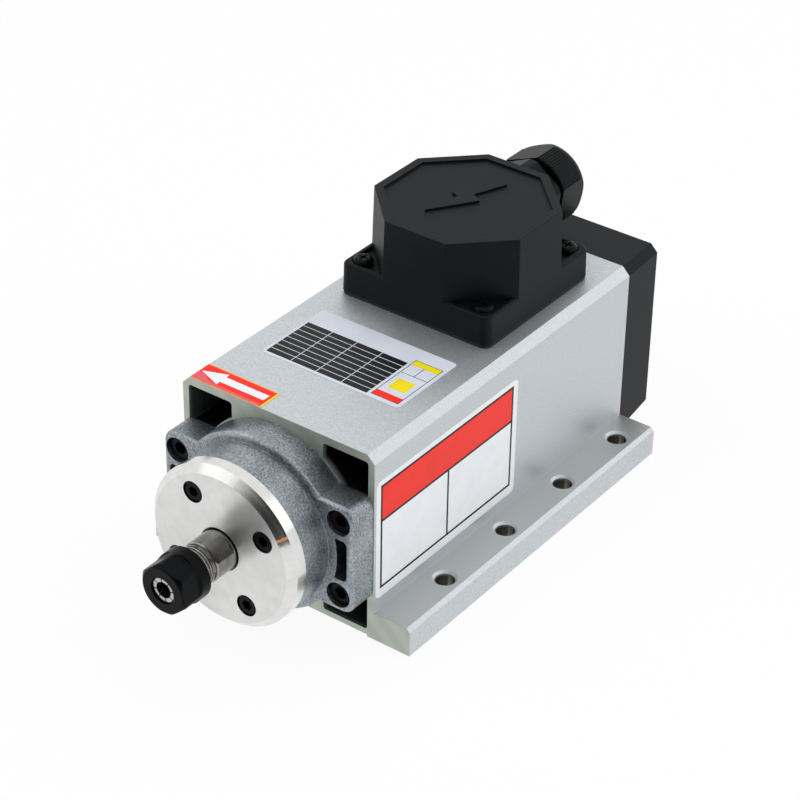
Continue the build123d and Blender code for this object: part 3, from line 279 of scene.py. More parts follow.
def black_oxide(name, colour, dark, light, low, high):
    """Steel blackened in hot salts: a deep soft black that still shines like metal at its edges."""
    material, tree, shader = new_material(name, colour, 0.3, (low + high) / 2, Specular_IOR_Level=0.1)
    place = add_node(tree, "ShaderNodeTexCoord")
    # the salts etch a fine grain; drawn at 0.3 mm so that it shows
    etch = add_node(tree, "ShaderNodeTexNoise", None, {
        "Vector": place.outputs["Object"], "Scale": 1 / (0.3 * MM), "Detail": 3.0, "Roughness": 0.6})
    tones = two_tones(add_node(tree, "ShaderNodeValToRGB", None, {"Fac": etch.outputs["Fac"]}),
                      dark, light)
    tree.links.new(tones.outputs["Color"], shader.inputs["Base Color"])
    gloss = add_node(tree, "ShaderNodeMapRange", None, {
        "Value": etch.outputs["Fac"], "To Min": low, "To Max": high})
    tree.links.new(gloss.outputs["Result"], shader.inputs["Roughness"])
    eased = add_node(tree, "ShaderNodeBevel", {"samples": 4}, {"Radius": 0.2 * MM})
    relief = add_node(tree, "ShaderNodeBump", None, {
        "Height": etch.outputs["Fac"], "Distance": 0.01 * MM, "Strength": 0.4,
        "Normal": eased.outputs["Normal"]})
    tree.links.new(relief.outputs["Normal"], shader.inputs["Normal"])
    return material


def moulded_black(name, colour, dark, light, low, high, pit_mm, depth_mm, shine):
    """Black injection-moulded plastic with the spark-eroded texture of its mould: a matt, slightly
    blue black that goes paler where it faces the light."""
    material, tree, shader = new_material(name, colour, 0.0, (low + high) / 2, IOR=1.5,
                                          Specular_IOR_Level=shine, Specular_Tint=linear("#E2F1F8"))
    place = add_node(tree, "ShaderNodeTexCoord")
    pits = add_node(tree, "ShaderNodeTexNoise", None, {
        "Vector": place.outputs["Object"], "Scale": 1 / (pit_mm * MM), "Detail": 2.0, "Roughness": 0.6})
    # flow clouds from the moulding, some 9 mm across
    flow = add_node(tree, "ShaderNodeTexNoise", None, {
        "Vector": place.outputs["Object"], "Scale": 1 / (9 * MM), "Detail": 2.0})
    tones = two_tones(add_node(tree, "ShaderNodeValToRGB", None, {"Fac": flow.outputs["Fac"]}),
                      dark, light, 0.3, 0.7)
    tree.links.new(tones.outputs["Color"], shader.inputs["Base Color"])
    gloss = add_node(tree, "ShaderNodeMapRange", None, {
        "Value": pits.outputs["Fac"], "To Min": low, "To Max": high})
    tree.links.new(gloss.outputs["Result"], shader.inputs["Roughness"])
    eased = add_node(tree, "ShaderNodeBevel", {"samples": 4}, {"Radius": 0.3 * MM})
    relief = add_node(tree, "ShaderNodeBump", None, {
        "Height": pits.outputs["Fac"], "Distance": depth_mm * MM, "Strength": 0.6,
        "Normal": eased.outputs["Normal"]})
    tree.links.new(relief.outputs["Normal"], shader.inputs["Normal"])
    return material


# ---------------------------------------------------------------- finishes inside, and of films
def worked_surface(name, colour, dark, light, metallic, low, high, grain_mm):
    """A worked surface with a little unevenness in its tone and gloss, at the size of its grain."""
    material, tree, shader = new_material(name, colour, metallic, (low + high) / 2)
    place = add_node(tree, "ShaderNodeTexCoord")
    grain = add_node(tree, "ShaderNodeTexNoise", None, {
        "Vector": place.outputs["Object"], "Scale": 1 / (grain_mm * MM), "Detail": 3.0})
    tones = two_tones(add_node(tree, "ShaderNodeValToRGB", None, {"Fac": grain.outputs["Fac"]}),
                      dark, light)
    tree.links.new(tones.outputs["Color"], shader.inputs["Base Color"])
    gloss = add_node(tree, "ShaderNodeMapRange", None, {
        "Value": grain.outputs["Fac"], "To Min": low, "To Max": high})
    tree.links.new(gloss.outputs["Result"], shader.inputs["Roughness"])
    relief = add_node(tree, "ShaderNodeBump", None, {
        "Height": grain.outputs["Fac"], "Distance": 0.01 * MM, "Strength": 0.3})
    tree.links.new(relief.outputs["Normal"], shader.inputs["Normal"])
    return material


def sheet_stack():
    """Electrical steel sheets 0.5 mm thick, stacked along the shaft: dark and light lines, drawn
    some 3 mm apart so that they show."""
    material, tree, shader = new_material("electrical_steel_sheets", "#5C6066", 1.0, 0.5)
    place = add_node(tree, "ShaderNodeTexCoord")
    sheets = add_node(tree, "ShaderNodeTexWave", {"wave_type": "BANDS", "bands_direction": "Y"}, {
        "Vector": place.outputs["Object"], "Scale": 1 / (0.5 * MM) / WAVE_RATE})
    tones = two_tones(add_node(tree, "ShaderNodeValToRGB", None, {"Fac": sheets.outputs["Fac"]}),
                      "#3C4046", "#74787E", 0.2, 0.8)
    tree.links.new(tones.outputs["Color"], shader.inputs["Base Color"])
    relief = add_node(tree, "ShaderNodeBump", None, {
        "Height": sheets.outputs["Fac"], "Distance": 0.05 * MM, "Strength": 0.5})
    tree.links.new(relief.outputs["Normal"], shader.inputs["Normal"])
    return material


def wound_wire():
    """Enamelled copper wire of about 0.8 mm, wound: warm strands side by side, drawn coarser so that
    they show."""
    material, tree, shader = new_material("copper_enamelled_wound", "#B5652F", 0.9, 0.35)
    place = add_node(tree, "ShaderNodeTexCoord")
    strands = add_node(tree, "ShaderNodeTexWave", {
        "wave_type": "BANDS", "bands_direction": "DIAGONAL"}, {
        "Vector": place.outputs["Object"], "Scale": 1 / (0.8 * MM) / WAVE_RATE, "Distortion": 1.5})
    tones = two_tones(add_node(tree, "ShaderNodeValToRGB", None, {"Fac": strands.outputs["Fac"]}),
                      "#7E3F1B", "#C87A3F", 0.2, 0.8)
    tree.links.new(tones.outputs["Color"], shader.inputs["Base Color"])
    relief = add_node(tree, "ShaderNodeBump", None, {
        "Height": strands.outputs["Fac"], "Distance": 0.2 * MM, "Strength": 0.6})
    tree.links.new(relief.outputs["Normal"], shader.inputs["Normal"])
    return material


def printed_film(name, colour, dark, roughness=0.34):
    """Printed polyester film: an even smooth skin with a faint ripple where it is stuck down."""
    material, tree, shader = new_material(name, colour, 0.0, roughness, IOR=1.5,
                                          Specular_IOR_Level=0.22)
    place = add_node(tree, "ShaderNodeTexCoord")
    # adhesive ripple, some 7 mm from crest to crest
    ripple = add_node(tree, "ShaderNodeTexNoise", None, {
        "Vector": place.outputs["Object"], "Scale": 1 / (7 * MM), "Detail": 1.0})
    tones = two_tones(add_node(tree, "ShaderNodeValToRGB", None, {"Fac": ripple.outputs["Fac"]}),
                      dark, colour, 0.2, 0.6)
    tree.links.new(tones.outputs["Color"], shader.inputs["Base Color"])
    gloss = add_node(tree, "ShaderNodeMapRange", None, {
        "Value": ripple.outputs["Fac"], "To Min": roughness - 0.05, "To Max": roughness + 0.08})
    tree.links.new(gloss.outputs["Result"], shader.inputs["Roughness"])
    relief = add_node(tree, "ShaderNodeBump", None, {
        "Height": ripple.outputs["Fac"], "Distance": 0.02 * MM, "Strength": 0.2})
    tree.links.new(relief.outputs["Normal"], shader.inputs["Normal"])
    return material


# by the record's material slots; the comments add what a finish's function doesn't say
FINISHES = {
    "anodised_aluminium": anodised_extrusion(),
    "cast_aluminium": blasted_casting(),
    # face of the front cap: fine turned, bright, slightly warm
    "turned_aluminium": turned_metal("aluminium_fine_turned", "#DEDFDC", "#DADBD8", "#E3E4E1",
                                     0.15, 0.36, 0.3, 0.9),
    # shaft nose: ground steel, darker and glossier than the cap
    "shaft_steel": turned_metal("steel_cylindrical_ground", "#979593", "#858381", "#A8A6A4",
                                0.15, 0.26, 0.3, 0.85),
    # rings, balls and spacers: hardened steel, ground and polished to a bright even shine
    "bearing_steel": worked_surface("bearing_steel_polished", "#C8C9CB", "#B8B9BB", "#D2D3D5",
                                    1.0, 0.08, 0.16, 1.0),
    "lamination_steel": sheet_stack(),
    "copper": wound_wire(),
    # collet nut, and below it screws, which are smoother
    "black_oxide_steel": black_oxide("steel_black_oxide", "#090A0C", "#060709", "#0C0E10", 0.3, 0.42),
    "black_screw_steel": black_oxide("screw_steel_black_oxide", "#0C0D0E", "#08090A", "#111214",
                                     0.24, 0.36),
    # collet: spring steel, ground to a soft bright grey
    "collet_steel": worked_surface("spring_steel_ground", "#BDBCB8", "#A8A7A3", "#CCCBC7",
                                   1.0, 0.2, 0.3, 0.4),
    # circlip: spring steel, phosphated to a dull dark grey
    "spring_steel": worked_surface("spring_steel_phosphated", "#3A3C40", "#2E3034", "#4A4C50",
                                   0.9, 0.4, 0.5, 0.4),
    # terminal and earth screws: turned brass, a warm yellow shine
    "brass": worked_surface("brass_turned", "#C7A35A", "#B08D48", "#D8B870", 1.0, 0.2, 0.32, 0.5),
    # box and covers: spark-eroded ABS, pits of 0.35 mm
    "black_plastic": moulded_black("abs_black_spark_textured", "#090C0E", "#07090B", "#0B0F11",
                                   0.44, 0.58, 0.35, 0.02, 0.17),
    # gland: polyamide, smoother than the box
    "black_nylon": moulded_black("polyamide_black_satin", "#08090A", "#060707", "#0A0B0C",
                                 0.34, 0.46, 0.5, 0.015, 0.12),
    # terminal block: moulded polyamide, ivory and satin
    "terminal_plastic": worked_surface("polyamide_ivory_moulded", "#D8D3C0", "#CFC9B5", "#DFDAC8",
                                       0.0, 0.35, 0.45, 1.0),
    # bearing cages: moulded phenolic resin, amber brown and satin
    "cage_plastic": worked_surface("phenolic_amber_moulded", "#94763C", "#866933", "#A18247",
                                   0.0, 0.35, 0.45, 1.0),
    # gasket and seal: moulded nitrile rubber, a matt near-black
    "black_rubber": worked_surface("nitrile_rubber_black", "#101010", "#0C0C0C", "#151515",
                                   0.0, 0.6, 0.75, 0.5),
    # motor leads: extruded silicone, a satin red
    "lead_insulation": worked_surface("silicone_lead_red", "#9C2018", "#8E1B14", "#A9271D",
                                      0.0, 0.35, 0.45, 1.0),
}

# films and inks of the stuck-on signs, and the orange of the painted reflection on the cap's chamfer
FILMS = {
    "white": printed_film("film_white", "#F0F2F4", "#E9ECEF"),
    "pearl": printed_film("film_pearl", "#D6DAE4", "#CDD2DC"),
    "red": printed_film("film_ink_red", "#F82C1A", "#F02616"),
    "rose": printed_film("film_ink_rose", "#E8606A", "#E05862"),
    "yellow": printed_film("film_ink_yellow", "#F2DC1E", "#EAD41A"),
    "amber": printed_film("film_ink_amber", "#F0A22A", "#E89A24"),
    "black": printed_film("film_ink_black", "#101012", "#0C0C0E", 0.4),
    # orange: the painted reflection on the front cap's chamfer
    "orange": printed_film("orange_painted_reflection", "#D59560", "#C4824E", 0.5),
}

for entry in frame["record"]["subparts"]:
    shown = NODES[entry["node"]]
    shown.data.materials.clear()
    shown.data.materials.append(FINISHES[entry["material_slot"]])


# ---------------------------------------------------------------- mesh pieces
def settled(piece, body, sharp_deg):
    """Shades a piece smooth up to an angle, and gives it the body it rides on."""
    for face in piece.data.polygons:
        face.use_smooth = True
    piece.data.set_sharp_from_angle(angle=math.radians(sharp_deg))
    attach(piece, body)


def mesh_piece(name, vertices, faces, material, body):
    """A mesh piece that rides on a body; its places are in metres in the part's own frame."""
    mesh = bpy.data.meshes.new(name)
    mesh.from_pydata([tuple(v) for v in vertices], [], faces)
    shape = bmesh.new()
    shape.from_mesh(mesh)
    bmesh.ops.remove_doubles(shape, verts=shape.verts, dist=0.0001 * MM)
    bmesh.ops.recalc_face_normals(shape, faces=shape.faces)
    shape.to_mesh(mesh)
    shape.free()
    mesh.materials.append(material)
    piece = bpy.data.objects.new(name, mesh)
    bpy.context.scene.collection.objects.link(piece)
    settled(piece, body, SHARP_DEG)


def raised_shape(outline, place, lift, thickness):
    """Vertices and faces of a flat shape: place(u, v, w) gives the point w above the surface."""
    count = len(outline)
    low = [place(u, v, lift) for u, v in outline]
    high = [place(u, v, lift + thickness) for u, v in outline]
    faces = [tuple(range(count - 1, -1, -1)), tuple(range(count, 2 * count))]
    faces += [(i, (i + 1) % count, count + (i + 1) % count, count + i) for i in range(count)]
    return low + high, faces


def film_layer(name, outlines, place, lift, thickness, ink):
    """One printed layer of a sticker, from the flat outlines it covers."""
    vertices, faces = [], []
    for outline in outlines:
        points, polygons = raised_shape(outline, place, lift, thickness)
        base = len(vertices)
        vertices += points
        faces += [tuple(base + i for i in polygon) for polygon in polygons]
    mesh_piece(name, vertices, faces, FILMS[ink], "housing")


def rounded_box(x0, y0, x1, y1, radius):
    """Outline of a rectangle with round corners, anticlockwise."""
    steps = 6               # along each corner
    outline = []
    for cx, cy, start in ((x1 - radius, y0 + radius, -90), (x1 - radius, y1 - radius, 0),
                          (x0 + radius, y1 - radius, 90), (x0 + radius, y0 + radius, 180)):
        for step in range(steps + 1):
            angle = math.radians(start + 90 * step / steps)
            outline.append((cx + radius * math.cos(angle), cy + radius * math.sin(angle)))
    return outline


def plain_box(x0, y0, x1, y1):
    """Outline of a rectangle, anticlockwise."""
    return [(x0, y0), (x1, y0), (x1, y1), (x0, y1)]


def ring_box(x0, y0, x1, y1, width):
    """A rectangular line of some width, as four bars."""
    return [plain_box(x0, y0, x1, y0 + width), plain_box(x0, y1 - width, x1, y1),
            plain_box(x0, y0 + width, x0 + width, y1 - width),
            plain_box(x1 - width, y0 + width, x1, y1 - width)]


def on_top(x, y, lift):
    """A point above the housing's top, y counted from its front face, in millimetres."""
    return Vector((x, FRONT_FACE + y, BODY_TOP + lift)) * MM


def on_side(y, z, lift):
    """A point beside the housing's right side, y counted as on_top counts it."""
    return Vector((BODY_SIDE + lift, FRONT_FACE + y, z)) * MM


FILM = 0.1          # sticker film thickness, mm
INK = 0.02          # printed layer above the film, mm, drawn thick enough not to flicker
SHARP_DEG = 35      # edges that turn more than this stay sharp


def side_plate():
    """Blank plate on the side: white film, black keyline, red header and a divider, no words."""
    film_layer("side_plate_film", [rounded_box(1.0, 15.5, 80.8, 62.2, 2.2)], on_side, 0, FILM, "white")
    line = 0.9
    front, low, rear, high = 3.4, 19.0, 78.2, 60.2
    header, divider = 45.6, 40.4            # the header's lower line, and the field's middle line
    keyline = ring_box(front, low, rear, high, line)
    keyline += [plain_box(front, header, rear, header + line),
                plain_box(divider, low, divider + line, header)]
    film_layer("side_plate_keyline", keyline, on_side, FILM, INK * 1.5, "black")
    film_layer("side_plate_header", [plain_box(front + line, header + line, rear - line, high - line)],
               on_side, FILM, INK, "red")


def arrow_sticker():
    """Turning-direction sticker on the front edge: a white arrow on red with an amber edge."""
    film_layer("arrow_sticker_film", [plain_box(-37.0, 0.2, -6.8, 10.2)], on_top, 0, FILM, "amber")
    film_layer("arrow_sticker_edge", [plain_box(-7.45, 0.2, -6.8, 10.2)], on_top, FILM, INK, "yellow")
    film_layer("arrow_sticker_field", [plain_box(-36.9, 0.55, -7.5, 9.75)], on_top, FILM, INK, "red")
    film_layer("arrow_sticker_shade", [[(-36.9, 0.55), (-8.0, 0.55), (-8.6, 1.5), (-27.5, 1.6),
                                        (-30.5, 2.2), (-34.6, 4.6), (-36.9, 4.7)]],
               on_top, FILM + INK, INK, "rose")
    arrow = [(-36.2, 5.4), (-27.0, 1.9), (-27.0, 3.7), (-8.7, 3.9), (-8.7, 7.1), (-27.0, 7.1),
             (-27.2, 8.9)]
    film_layer("arrow_sticker_arrow", [arrow], on_top, FILM + 2 * INK, INK, "white")


def lid_flash_sign():
    """The moulded flash sign, raised from the floor of the lid's recess nearly to its rim."""
    rim, sunk, short = 0.8, 0.2, 0.05       # recess depth, sign under its floor, sign below the rim
    outline = [(-6.85, 0.3), (-3.6, -0.8), (-6.9, -15.7), (4.15, 1.1), (0.0, 3.5), (5.1, 16.6)]

    def on_lid(x, y, lift):
        return Vector((x, BOX_Y + y, LID_TOP - rim + lift)) * MM

    vertices, faces = raised_shape(outline, on_lid, -sunk, rim + sunk - short)
    mesh_piece("lid_flash_sign", vertices, faces, FINISHES["black_plastic"], "housing")


def cap_painted_reflection():
    """An orange patch across the front cap's chamfer, its ends uneven: a painted reflection."""
    front = CAP_LOW[1] / MM
    radius = (CAP_HIGH[0] - CAP_LOW[0]) / 2 / MM
    first_deg, width_deg, ragged_deg = 28.5, 2.0, 0.25
    proud, sunk = 0.03, 0.05                # the patch's outer and inner face from the metal
    vertices, faces = [], []
    steps, rows = 8, 6                      # along the patch's width and down the chamfer
    for lift in (proud, -sunk):
        for row in range(rows + 1):
            share = row / rows
            y = front + CAP_CHAMFER * share - lift * (1 - share)
            r = radius - CAP_CHAMFER * (1 - share) + lift
            for step in range(steps + 1):
                uneven = ragged_deg * math.sin(row * 2.3) if step in (0, steps) else 0.0
                angle = math.radians(first_deg + width_deg * step / steps + uneven)
                vertices.append(Vector((r * math.cos(angle), y,
                                        AXIS_Z / MM + r * math.sin(angle))) * MM)
    layer, line = (rows + 1) * (steps + 1), steps + 1      # points in a face and in one of its rows
    for row in range(rows):
        for step in range(steps):
            a, b = row * line + step, (row + 1) * line + step
            faces.append((a, b, b + 1, a + 1))
            faces.append((layer + a, layer + a + 1, layer + b + 1, layer + b))
    rim = list(range(steps)) + [row * line + steps for row in range(rows)]
    rim += [rows * line + step for step in range(steps, 0, -1)]
    rim += [row * line for row in range(rows, 0, -1)]
    faces += [(a, b, layer + b, layer + a) for a, b in zip(rim, rim[1:] + rim[:1])]
    mesh_piece("cap_painted_reflection", vertices, faces, FILMS["orange"], "housing")


# ---------------------------------------------------------------- repeats, by geometry nodes
def geometry_tree(name, inputs):
    """An empty geometry tree with named inputs; returns it and its input node."""
    tree = bpy.data.node_groups.new(name, "GeometryNodeTree")
    tree.interface.new_socket("Geometry", in_out="OUTPUT", socket_type="NodeSocketGeometry")
    for label, kind in inputs:
        tree.interface.new_socket(label, in_out="INPUT", socket_type=kind)
    return tree, add_node(tree, "NodeGroupInput")


def finish_tree(tree, geometry):
    """Ends a tree: copies made real, then the material that its input names."""
    given = add_node(tree, "NodeGroupInput")
    real = add_node(tree, "GeometryNodeRealizeInstances", None, {"Geometry": geometry})
    coated = add_node(tree, "GeometryNodeSetMaterial", None, {
        "Geometry": real.outputs["Geometry"], "Material": given.outputs["Finish"]})
    add_node(tree, "NodeGroupOutput", None, {"Geometry": coated.outputs["Geometry"]})


def baked(name, tree, values, body, sharp_deg=SHARP_DEG):
    """Runs a geometry tree with the given input values and keeps the result as a plain mesh."""
    holder = bpy.data.objects.new(name, bpy.data.meshes.new(name + "_seed"))
    bpy.context.scene.collection.objects.link(holder)
    modifier = holder.modifiers.new("repeat", "NODES")
    modifier.node_group = tree
    for item in tree.interface.items_tree:
        if item.item_type == "SOCKET" and item.in_out == "INPUT" and item.name in values:
            modifier[item.identifier] = values[item.name]
    graph = bpy.context.evaluated_depsgraph_get()
    mesh = bpy.data.meshes.new_from_object(holder.evaluated_get(graph), preserve_all_data_layers=True,
                                           depsgraph=graph)
    holder.modifiers.remove(modifier)
    holder.data = mesh
    settled(holder, body, sharp_deg)


def rating_plate():
    """Blank rating plate on top: pearl film, a black table of empty cells, plain colour blocks."""
    film_layer("rating_plate_film", [rounded_box(-28.4, 27.0, 28.8, 60.8, 1.3)],
               on_top, 0, FILM, "pearl")
    tree, given = geometry_tree("table_cells", [
        ("Columns", "NodeSocketInt"), ("Rows", "NodeSocketInt"), ("Table Width", "NodeSocketFloat"),
        ("Table Height", "NodeSocketFloat"), ("Cell", "NodeSocketVector"),
        ("Middle", "NodeSocketVector"), ("Finish", "NodeSocketMaterial")])
    places = add_node(tree, "GeometryNodeMeshGrid", None, {
        "Size X": given.outputs["Table Width"], "Size Y": given.outputs["Table Height"],
        "Vertices X": given.outputs["Columns"], "Vertices Y": given.outputs["Rows"]})
    cell = add_node(tree, "GeometryNodeMeshCube", None, {"Size": given.outputs["Cell"]})
    cells = add_node(tree, "GeometryNodeInstanceOnPoints", None, {
        "Points": places.outputs["Mesh"], "Instance": cell.outputs["Mesh"]})
    laid = add_node(tree, "GeometryNodeTransform", None, {
        "Geometry": cells.outputs["Instances"], "Translation": given.outputs["Middle"]})
    finish_tree(tree, laid.outputs["Geometry"])
    columns, rows, line = 4, 8, 0.32        # line: the film left bare between two cells
    left, right, low, high = -27.5, 15.2, 28.1, 51.4
    width, height = (right - left) / columns, (high - low) / rows
    baked("rating_plate_cells", tree, {
        "Columns": columns, "Rows": rows,
        "Table Width": (right - left - width) * MM, "Table Height": (high - low - height) * MM,
        "Cell": ((width - line) * MM, (height - line) * MM, INK * MM),
        "Middle": tuple(on_top((left + right) / 2, (low + high) / 2, FILM + INK / 2)),
        "Finish": FILMS["black"]}, "housing")
    # beside the table: a ruled panel with a yellow head, a yellow square and a red foot
    rule = 0.25
    left, low, right, high = 16.2, 29.0, 27.4, 54.4
    middle, divider, head = 45.4, 21.6, 51.3
    rules = ring_box(left, low, right, high, rule)
    rules += [plain_box(left, middle, right, middle + rule),
              plain_box(divider, middle, divider + rule, head)]
    film_layer("rating_plate_rules", rules, on_top, FILM, INK, "black")
    film_layer("rating_plate_yellow", [plain_box(left + rule, head, right - rule, high - rule),
                                       plain_box(18.4, 35.4, 25.2, 42.0)], on_top, FILM, INK, "yellow")
    film_layer("rating_plate_red", [plain_box(left + rule, 29.3, right - rule, 32.4)],
               on_top, FILM, INK, "red")


def nose_thread():
    """The nose's fine thread behind the nut: a bright ridge and, half a turn on, a dark root of painted
    shade.
    """
    tree, given = geometry_tree("thread_ridge", [
        ("Turns", "NodeSocketFloat"), ("Length", "NodeSocketFloat"), ("Radius", "NodeSocketFloat"),
        ("Ridge", "NodeSocketFloat"), ("Start", "NodeSocketVector"), ("Finish", "NodeSocketMaterial")])
    coil = add_node(tree, "GeometryNodeCurveSpiral", None, {
        "Resolution": 48, "Rotations": given.outputs["Turns"], "Start Radius": given.outputs["Radius"],
        "End Radius": given.outputs["Radius"], "Height": given.outputs["Length"]})
    profile = add_node(tree, "GeometryNodeCurvePrimitiveCircle", {"mode": "RADIUS"}, {
        "Resolution": 6, "Radius": given.outputs["Ridge"]})
    ridge = add_node(tree, "GeometryNodeCurveToMesh", None, {
        "Curve": coil.outputs["Curve"], "Profile Curve": profile.outputs["Curve"], "Fill Caps": True})
    laid = add_node(tree, "GeometryNodeTransform", None, {
        "Geometry": ridge.outputs["Mesh"], "Translation": given.outputs["Start"],
        "Rotation": (math.radians(-90), 0, 0)})
    finish_tree(tree, laid.outputs["Geometry"])
    # the pitch is 0.75 mm; drawn at 1.15 mm so that the turns can be told apart
    pitch, length = 1.15, 3.45
    start = NUT_REAR + 0.45
    # the second helix, in the nut's black finish, is painted shade in the thread's groove
    for name, radius, ridge, onward, slot in (
            ("nose_thread", 6.9, 0.32, 0.0, "shaft_steel"),
            ("nose_thread_root_shade", 6.78, 0.28, pitch / 2, "black_oxide_steel")):
        baked(name, tree, {
            "Turns": length / pitch, "Length": length * MM, "Radius": radius * MM, "Ridge": ridge * MM,
            "Start": (0.0, (start + onward) * MM, AXIS_Z), "Finish": FINISHES[slot]},
            "spindle", 60)


def gland_ribs():
    """Grip ribs along the gland's dome nut, in three groups between its flats."""
    tree, given = geometry_tree("grip_ribs", [
        ("Count", "NodeSocketInt"), ("First Angle", "NodeSocketFloat"), ("Step", "NodeSocketFloat"),
        ("Radius", "NodeSocketFloat"), ("Rib Size", "NodeSocketFloat"),
        ("Rib Length", "NodeSocketFloat"),
        ("Middle", "NodeSocketVector"), ("Finish", "NodeSocketMaterial")])
    points = add_node(tree, "GeometryNodePoints", None, {"Count": given.outputs["Count"]})
    index = add_node(tree, "GeometryNodeInputIndex")
    angle = add_node(tree, "ShaderNodeMath", {"operation": "MULTIPLY_ADD"}, {
        0: index.outputs["Index"], 1: given.outputs["Step"], 2: given.outputs["First Angle"]})
    level = add_node(tree, "ShaderNodeMath", {"operation": "COSINE"}, {0: angle.outputs["Value"]})
    rise = add_node(tree, "ShaderNodeMath", {"operation": "SINE"}, {0: angle.outputs["Value"]})
    outward = add_node(tree, "ShaderNodeCombineXYZ", None, {
        "X": level.outputs["Value"], "Z": rise.outputs["Value"]})
    rim = add_node(tree, "ShaderNodeVectorMath", {"operation": "SCALE"}, {
        0: outward.outputs["Vector"], "Scale": given.outputs["Radius"]})
    place = add_node(tree, "ShaderNodeVectorMath", {"operation": "ADD"}, {
        0: rim.outputs["Vector"], 1: given.outputs["Middle"]})
    spread = add_node(tree, "GeometryNodeSetPosition", None, {
        "Geometry": points.outputs["Points"], "Position": place.outputs["Vector"]})
    # a rib: a round-backed bar along the gland's axis, half sunk in the nut
    section = add_node(tree, "GeometryNodeCurvePrimitiveCircle", {"mode": "RADIUS"}, {
        "Resolution": 8, "Radius": given.outputs["Rib Size"]})
    half = add_node(tree, "ShaderNodeMath", {"operation": "MULTIPLY"}, {
        0: given.outputs["Rib Length"], 1: 0.5})
    back = add_node(tree, "ShaderNodeMath", {"operation": "MULTIPLY"}, {
        0: half.outputs["Value"], 1: -1.0})
    near = add_node(tree, "ShaderNodeCombineXYZ", None, {"Y": back.outputs["Value"]})
    far = add_node(tree, "ShaderNodeCombineXYZ", None, {"Y": half.outputs["Value"]})
    spine = add_node(tree, "GeometryNodeCurvePrimitiveLine", None, {
        "Start": near.outputs["Vector"], "End": far.outputs["Vector"]})
    rib = add_node(tree, "GeometryNodeCurveToMesh", None, {
        "Curve": spine.outputs["Curve"], "Profile Curve": section.outputs["Curve"], "Fill Caps": True})
    copies = add_node(tree, "GeometryNodeInstanceOnPoints", None, {
        "Points": spread.outputs["Geometry"], "Instance": rib.outputs["Mesh"]})
    finish_tree(tree, copies.outputs["Instances"])
    # the slip ring is round, so its box gives the gland's axis; the dome nut's flats shift its own
    low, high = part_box("gland_slip_ring")
    rib_length, to_middle = 10.2, 5.6       # to_middle: from the dome nut's front face
    middle = ((low[0] + high[0]) / 2, DOME_FRONT + to_middle * MM, (low[2] + high[2]) / 2)
    ribs, arc = 16, 61.0                    # in one group, and the degrees it covers
    for group, centre in enumerate((52.0, 172.0, 292.0)):
        baked(f"gland_grip_ribs_{group + 1}", tree, {
            "Count": ribs, "First Angle": math.radians(centre - arc / 2),
            "Step": math.radians(arc / (ribs - 1)), "Radius": 14.45 * MM, "Rib Size": 0.33 * MM,
            "Rib Length": rib_length * MM, "Middle": middle,
            "Finish": FINISHES["black_nylon"]}, "gland_dome_nut", 50)


side_plate()
rating_plate()
arrow_sticker()
lid_flash_sign()
cap_painted_reflection()
nose_thread()
gland_ribs()


# ---------------------------------------------------------------- camera, light and floor
def camera():
    """Long lens, above the nose and to the right of it; the three directions are its own axes."""
    right = Vector((0.80182558, 0.59739324, 0.01403795))
    up = Vector((-0.33718698, 0.43293021, 0.83598826))
    back = Vector((0.49333628, -0.67505018, 0.54856774))
    lens = bpy.data.cameras.new("camera")
    lens.sensor_width = 36
    lens.lens = 118.65
    lens.clip_start = 0.01
    lens.clip_end = 50
    holder = bpy.data.objects.new("camera", lens)
    bpy.context.scene.collection.objects.link(holder)
    turn = Matrix((right, up, back)).transposed().to_4x4()
    holder.matrix_world = Matrix.Translation((0.452119, -0.634212, 0.546458)) @ turn
    bpy.context.scene.camera = holder


def seen_directly(tree):
    """1 for rays of the camera and for mirrored or refracted ones, 0 for rays that light things."""
    path = add_node(tree, "ShaderNodeLightPath")
    mirrored = add_node(tree, "ShaderNodeMath", {"operation": "MAXIMUM"}, {
        0: path.outputs["Is Glossy Ray"], 1: path.outputs["Is Transmission Ray"]})
    seen = add_node(tree, "ShaderNodeMath", {"operation": "MAXIMUM"}, {
        0: path.outputs["Is Camera Ray"], 1: mirrored.outputs["Value"]})
    return seen.outputs["Value"]


def sky():
    """Soft even light from all round, seen directly as a plain white backdrop."""
    world = bpy.data.worlds.new("studio")
    bpy.context.scene.world = world
    world.use_nodes = True
    tree = world.node_tree
    tree.nodes.clear()
    soft = add_node(tree, "ShaderNodeBackground", None, {"Color": linear("#EDF0F3"), "Strength": 0.5})
    white = add_node(tree, "ShaderNodeBackground", None, {"Color": (1, 1, 1, 1), "Strength": 1.0})
    mixed = add_node(tree, "ShaderNodeMixShader", None, {
        0: seen_directly(tree), 1: soft.outputs["Background"], 2: white.outputs["Background"]})
    add_node(tree, "ShaderNodeOutputWorld", None, {"Surface": mixed.outputs["Shader"]})


def soft_box(name, place, size, power, in_metal):
    """A large soft lamp aimed at the object's middle; in_metal says whether metal mirrors it."""
    aim = Vector((0, 0, 0.04))
    lamp = bpy.data.lights.new(name, "AREA")
    lamp.shape = "RECTANGLE"
    lamp.size, lamp.size_y = size
    lamp.energy = power
    holder = bpy.data.objects.new(name, lamp)
    holder.location = place
    holder.rotation_euler = (aim - Vector(place)).to_track_quat("-Z", "Y").to_euler()
    holder.visible_glossy = in_metal
    bpy.context.scene.collection.objects.link(holder)


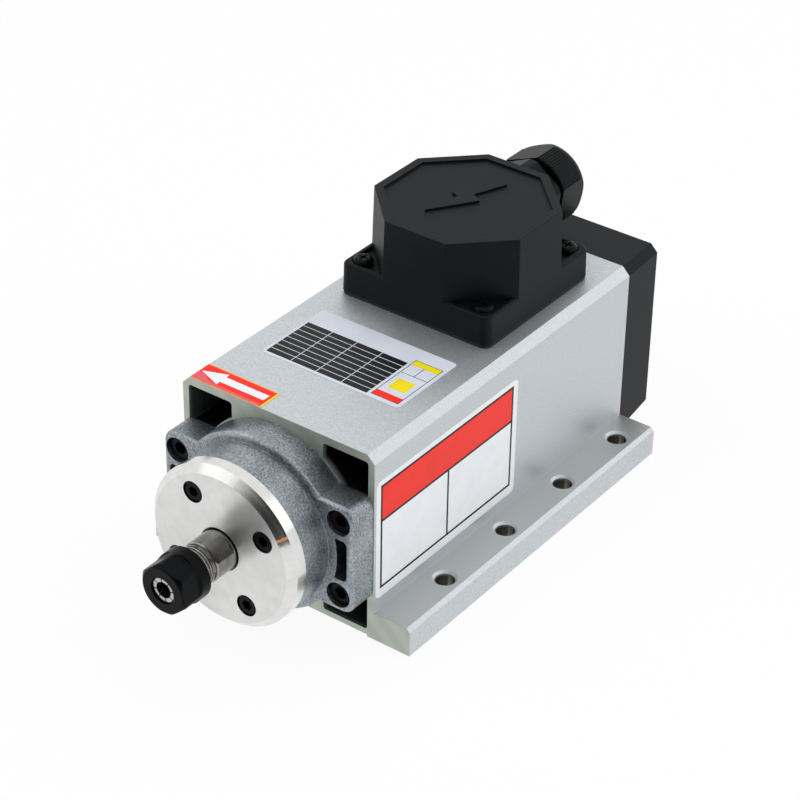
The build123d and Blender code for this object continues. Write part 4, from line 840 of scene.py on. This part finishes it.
def dark_card():
    """A black card in front, seen only in reflections, that gives the bright metal its dark bands."""
    corners = [(-0.35, -1.15, 0.02), (1.05, -0.85, 0.02), (1.05, -0.85, 1.0), (-0.35, -1.15, 1.0)]
    mesh = bpy.data.meshes.new("dark_card")
    mesh.from_pydata(corners, [], [(0, 3, 2, 1)])
    card = bpy.data.objects.new("dark_card", mesh)
    bpy.context.scene.collection.objects.link(card)
    mesh.materials.append(new_material("card_black", "#101010", 0.0, 0.9)[0])
    card.visible_camera = False
    card.visible_diffuse = False
    card.visible_shadow = False
    card.visible_transmission = False


def floor():
    """White floor: its own glow makes the background, and the rest keeps the object's shadow."""
    reach, under = 6, 0.0002        # from the middle, and below the foot so that the two don't flicker
    mesh = bpy.data.meshes.new("floor")
    mesh.from_pydata([(-reach, -reach, -under), (reach, -reach, -under), (reach, reach, -under),
                      (-reach, reach, -under)], [], [(0, 1, 2, 3)])
    ground = bpy.data.objects.new("floor", mesh)
    bpy.context.scene.collection.objects.link(ground)
    material, tree, shader = new_material("floor_white", "#F4F4F4", 0.0, 0.6)
    glow_share = 0.93
    share = add_node(tree, "ShaderNodeMath", {"operation": "MULTIPLY"}, {
        0: seen_directly(tree), 1: glow_share})
    glow = add_node(tree, "ShaderNodeEmission", None, {"Color": (1, 1, 1, 1), "Strength": 1.0})
    mixed = add_node(tree, "ShaderNodeMixShader", None, {
        0: share.outputs["Value"], 1: shader.outputs["BSDF"], 2: glow.outputs["Emission"]})
    tree.links.new(mixed.outputs["Shader"], tree.nodes["Material Output"].inputs["Surface"])
    mesh.materials.append(material)


camera()
sky()
# broad lamps that only light the body, and two weaker ones that the metal mirrors
soft_box("key_left", (-0.8, -0.7, 0.95), (1.1, 1.1), 4.5, False)
soft_box("key_sheen", (-0.85, -0.6, 1.1), (1.2, 1.2), 1.6, True)
soft_box("top_soft", (0.05, 0.3, 1.2), (1.4, 1.4), 7.0, False)
soft_box("side_right", (1.1, 0.3, 0.6), (0.8, 1.2), 4.5, False)
soft_box("edge_light", (0.9, 1.05, 0.8), (0.9, 0.9), 1.3, True)
dark_card()
floor()
bpy.context.scene.view_settings.view_transform = "Standard"
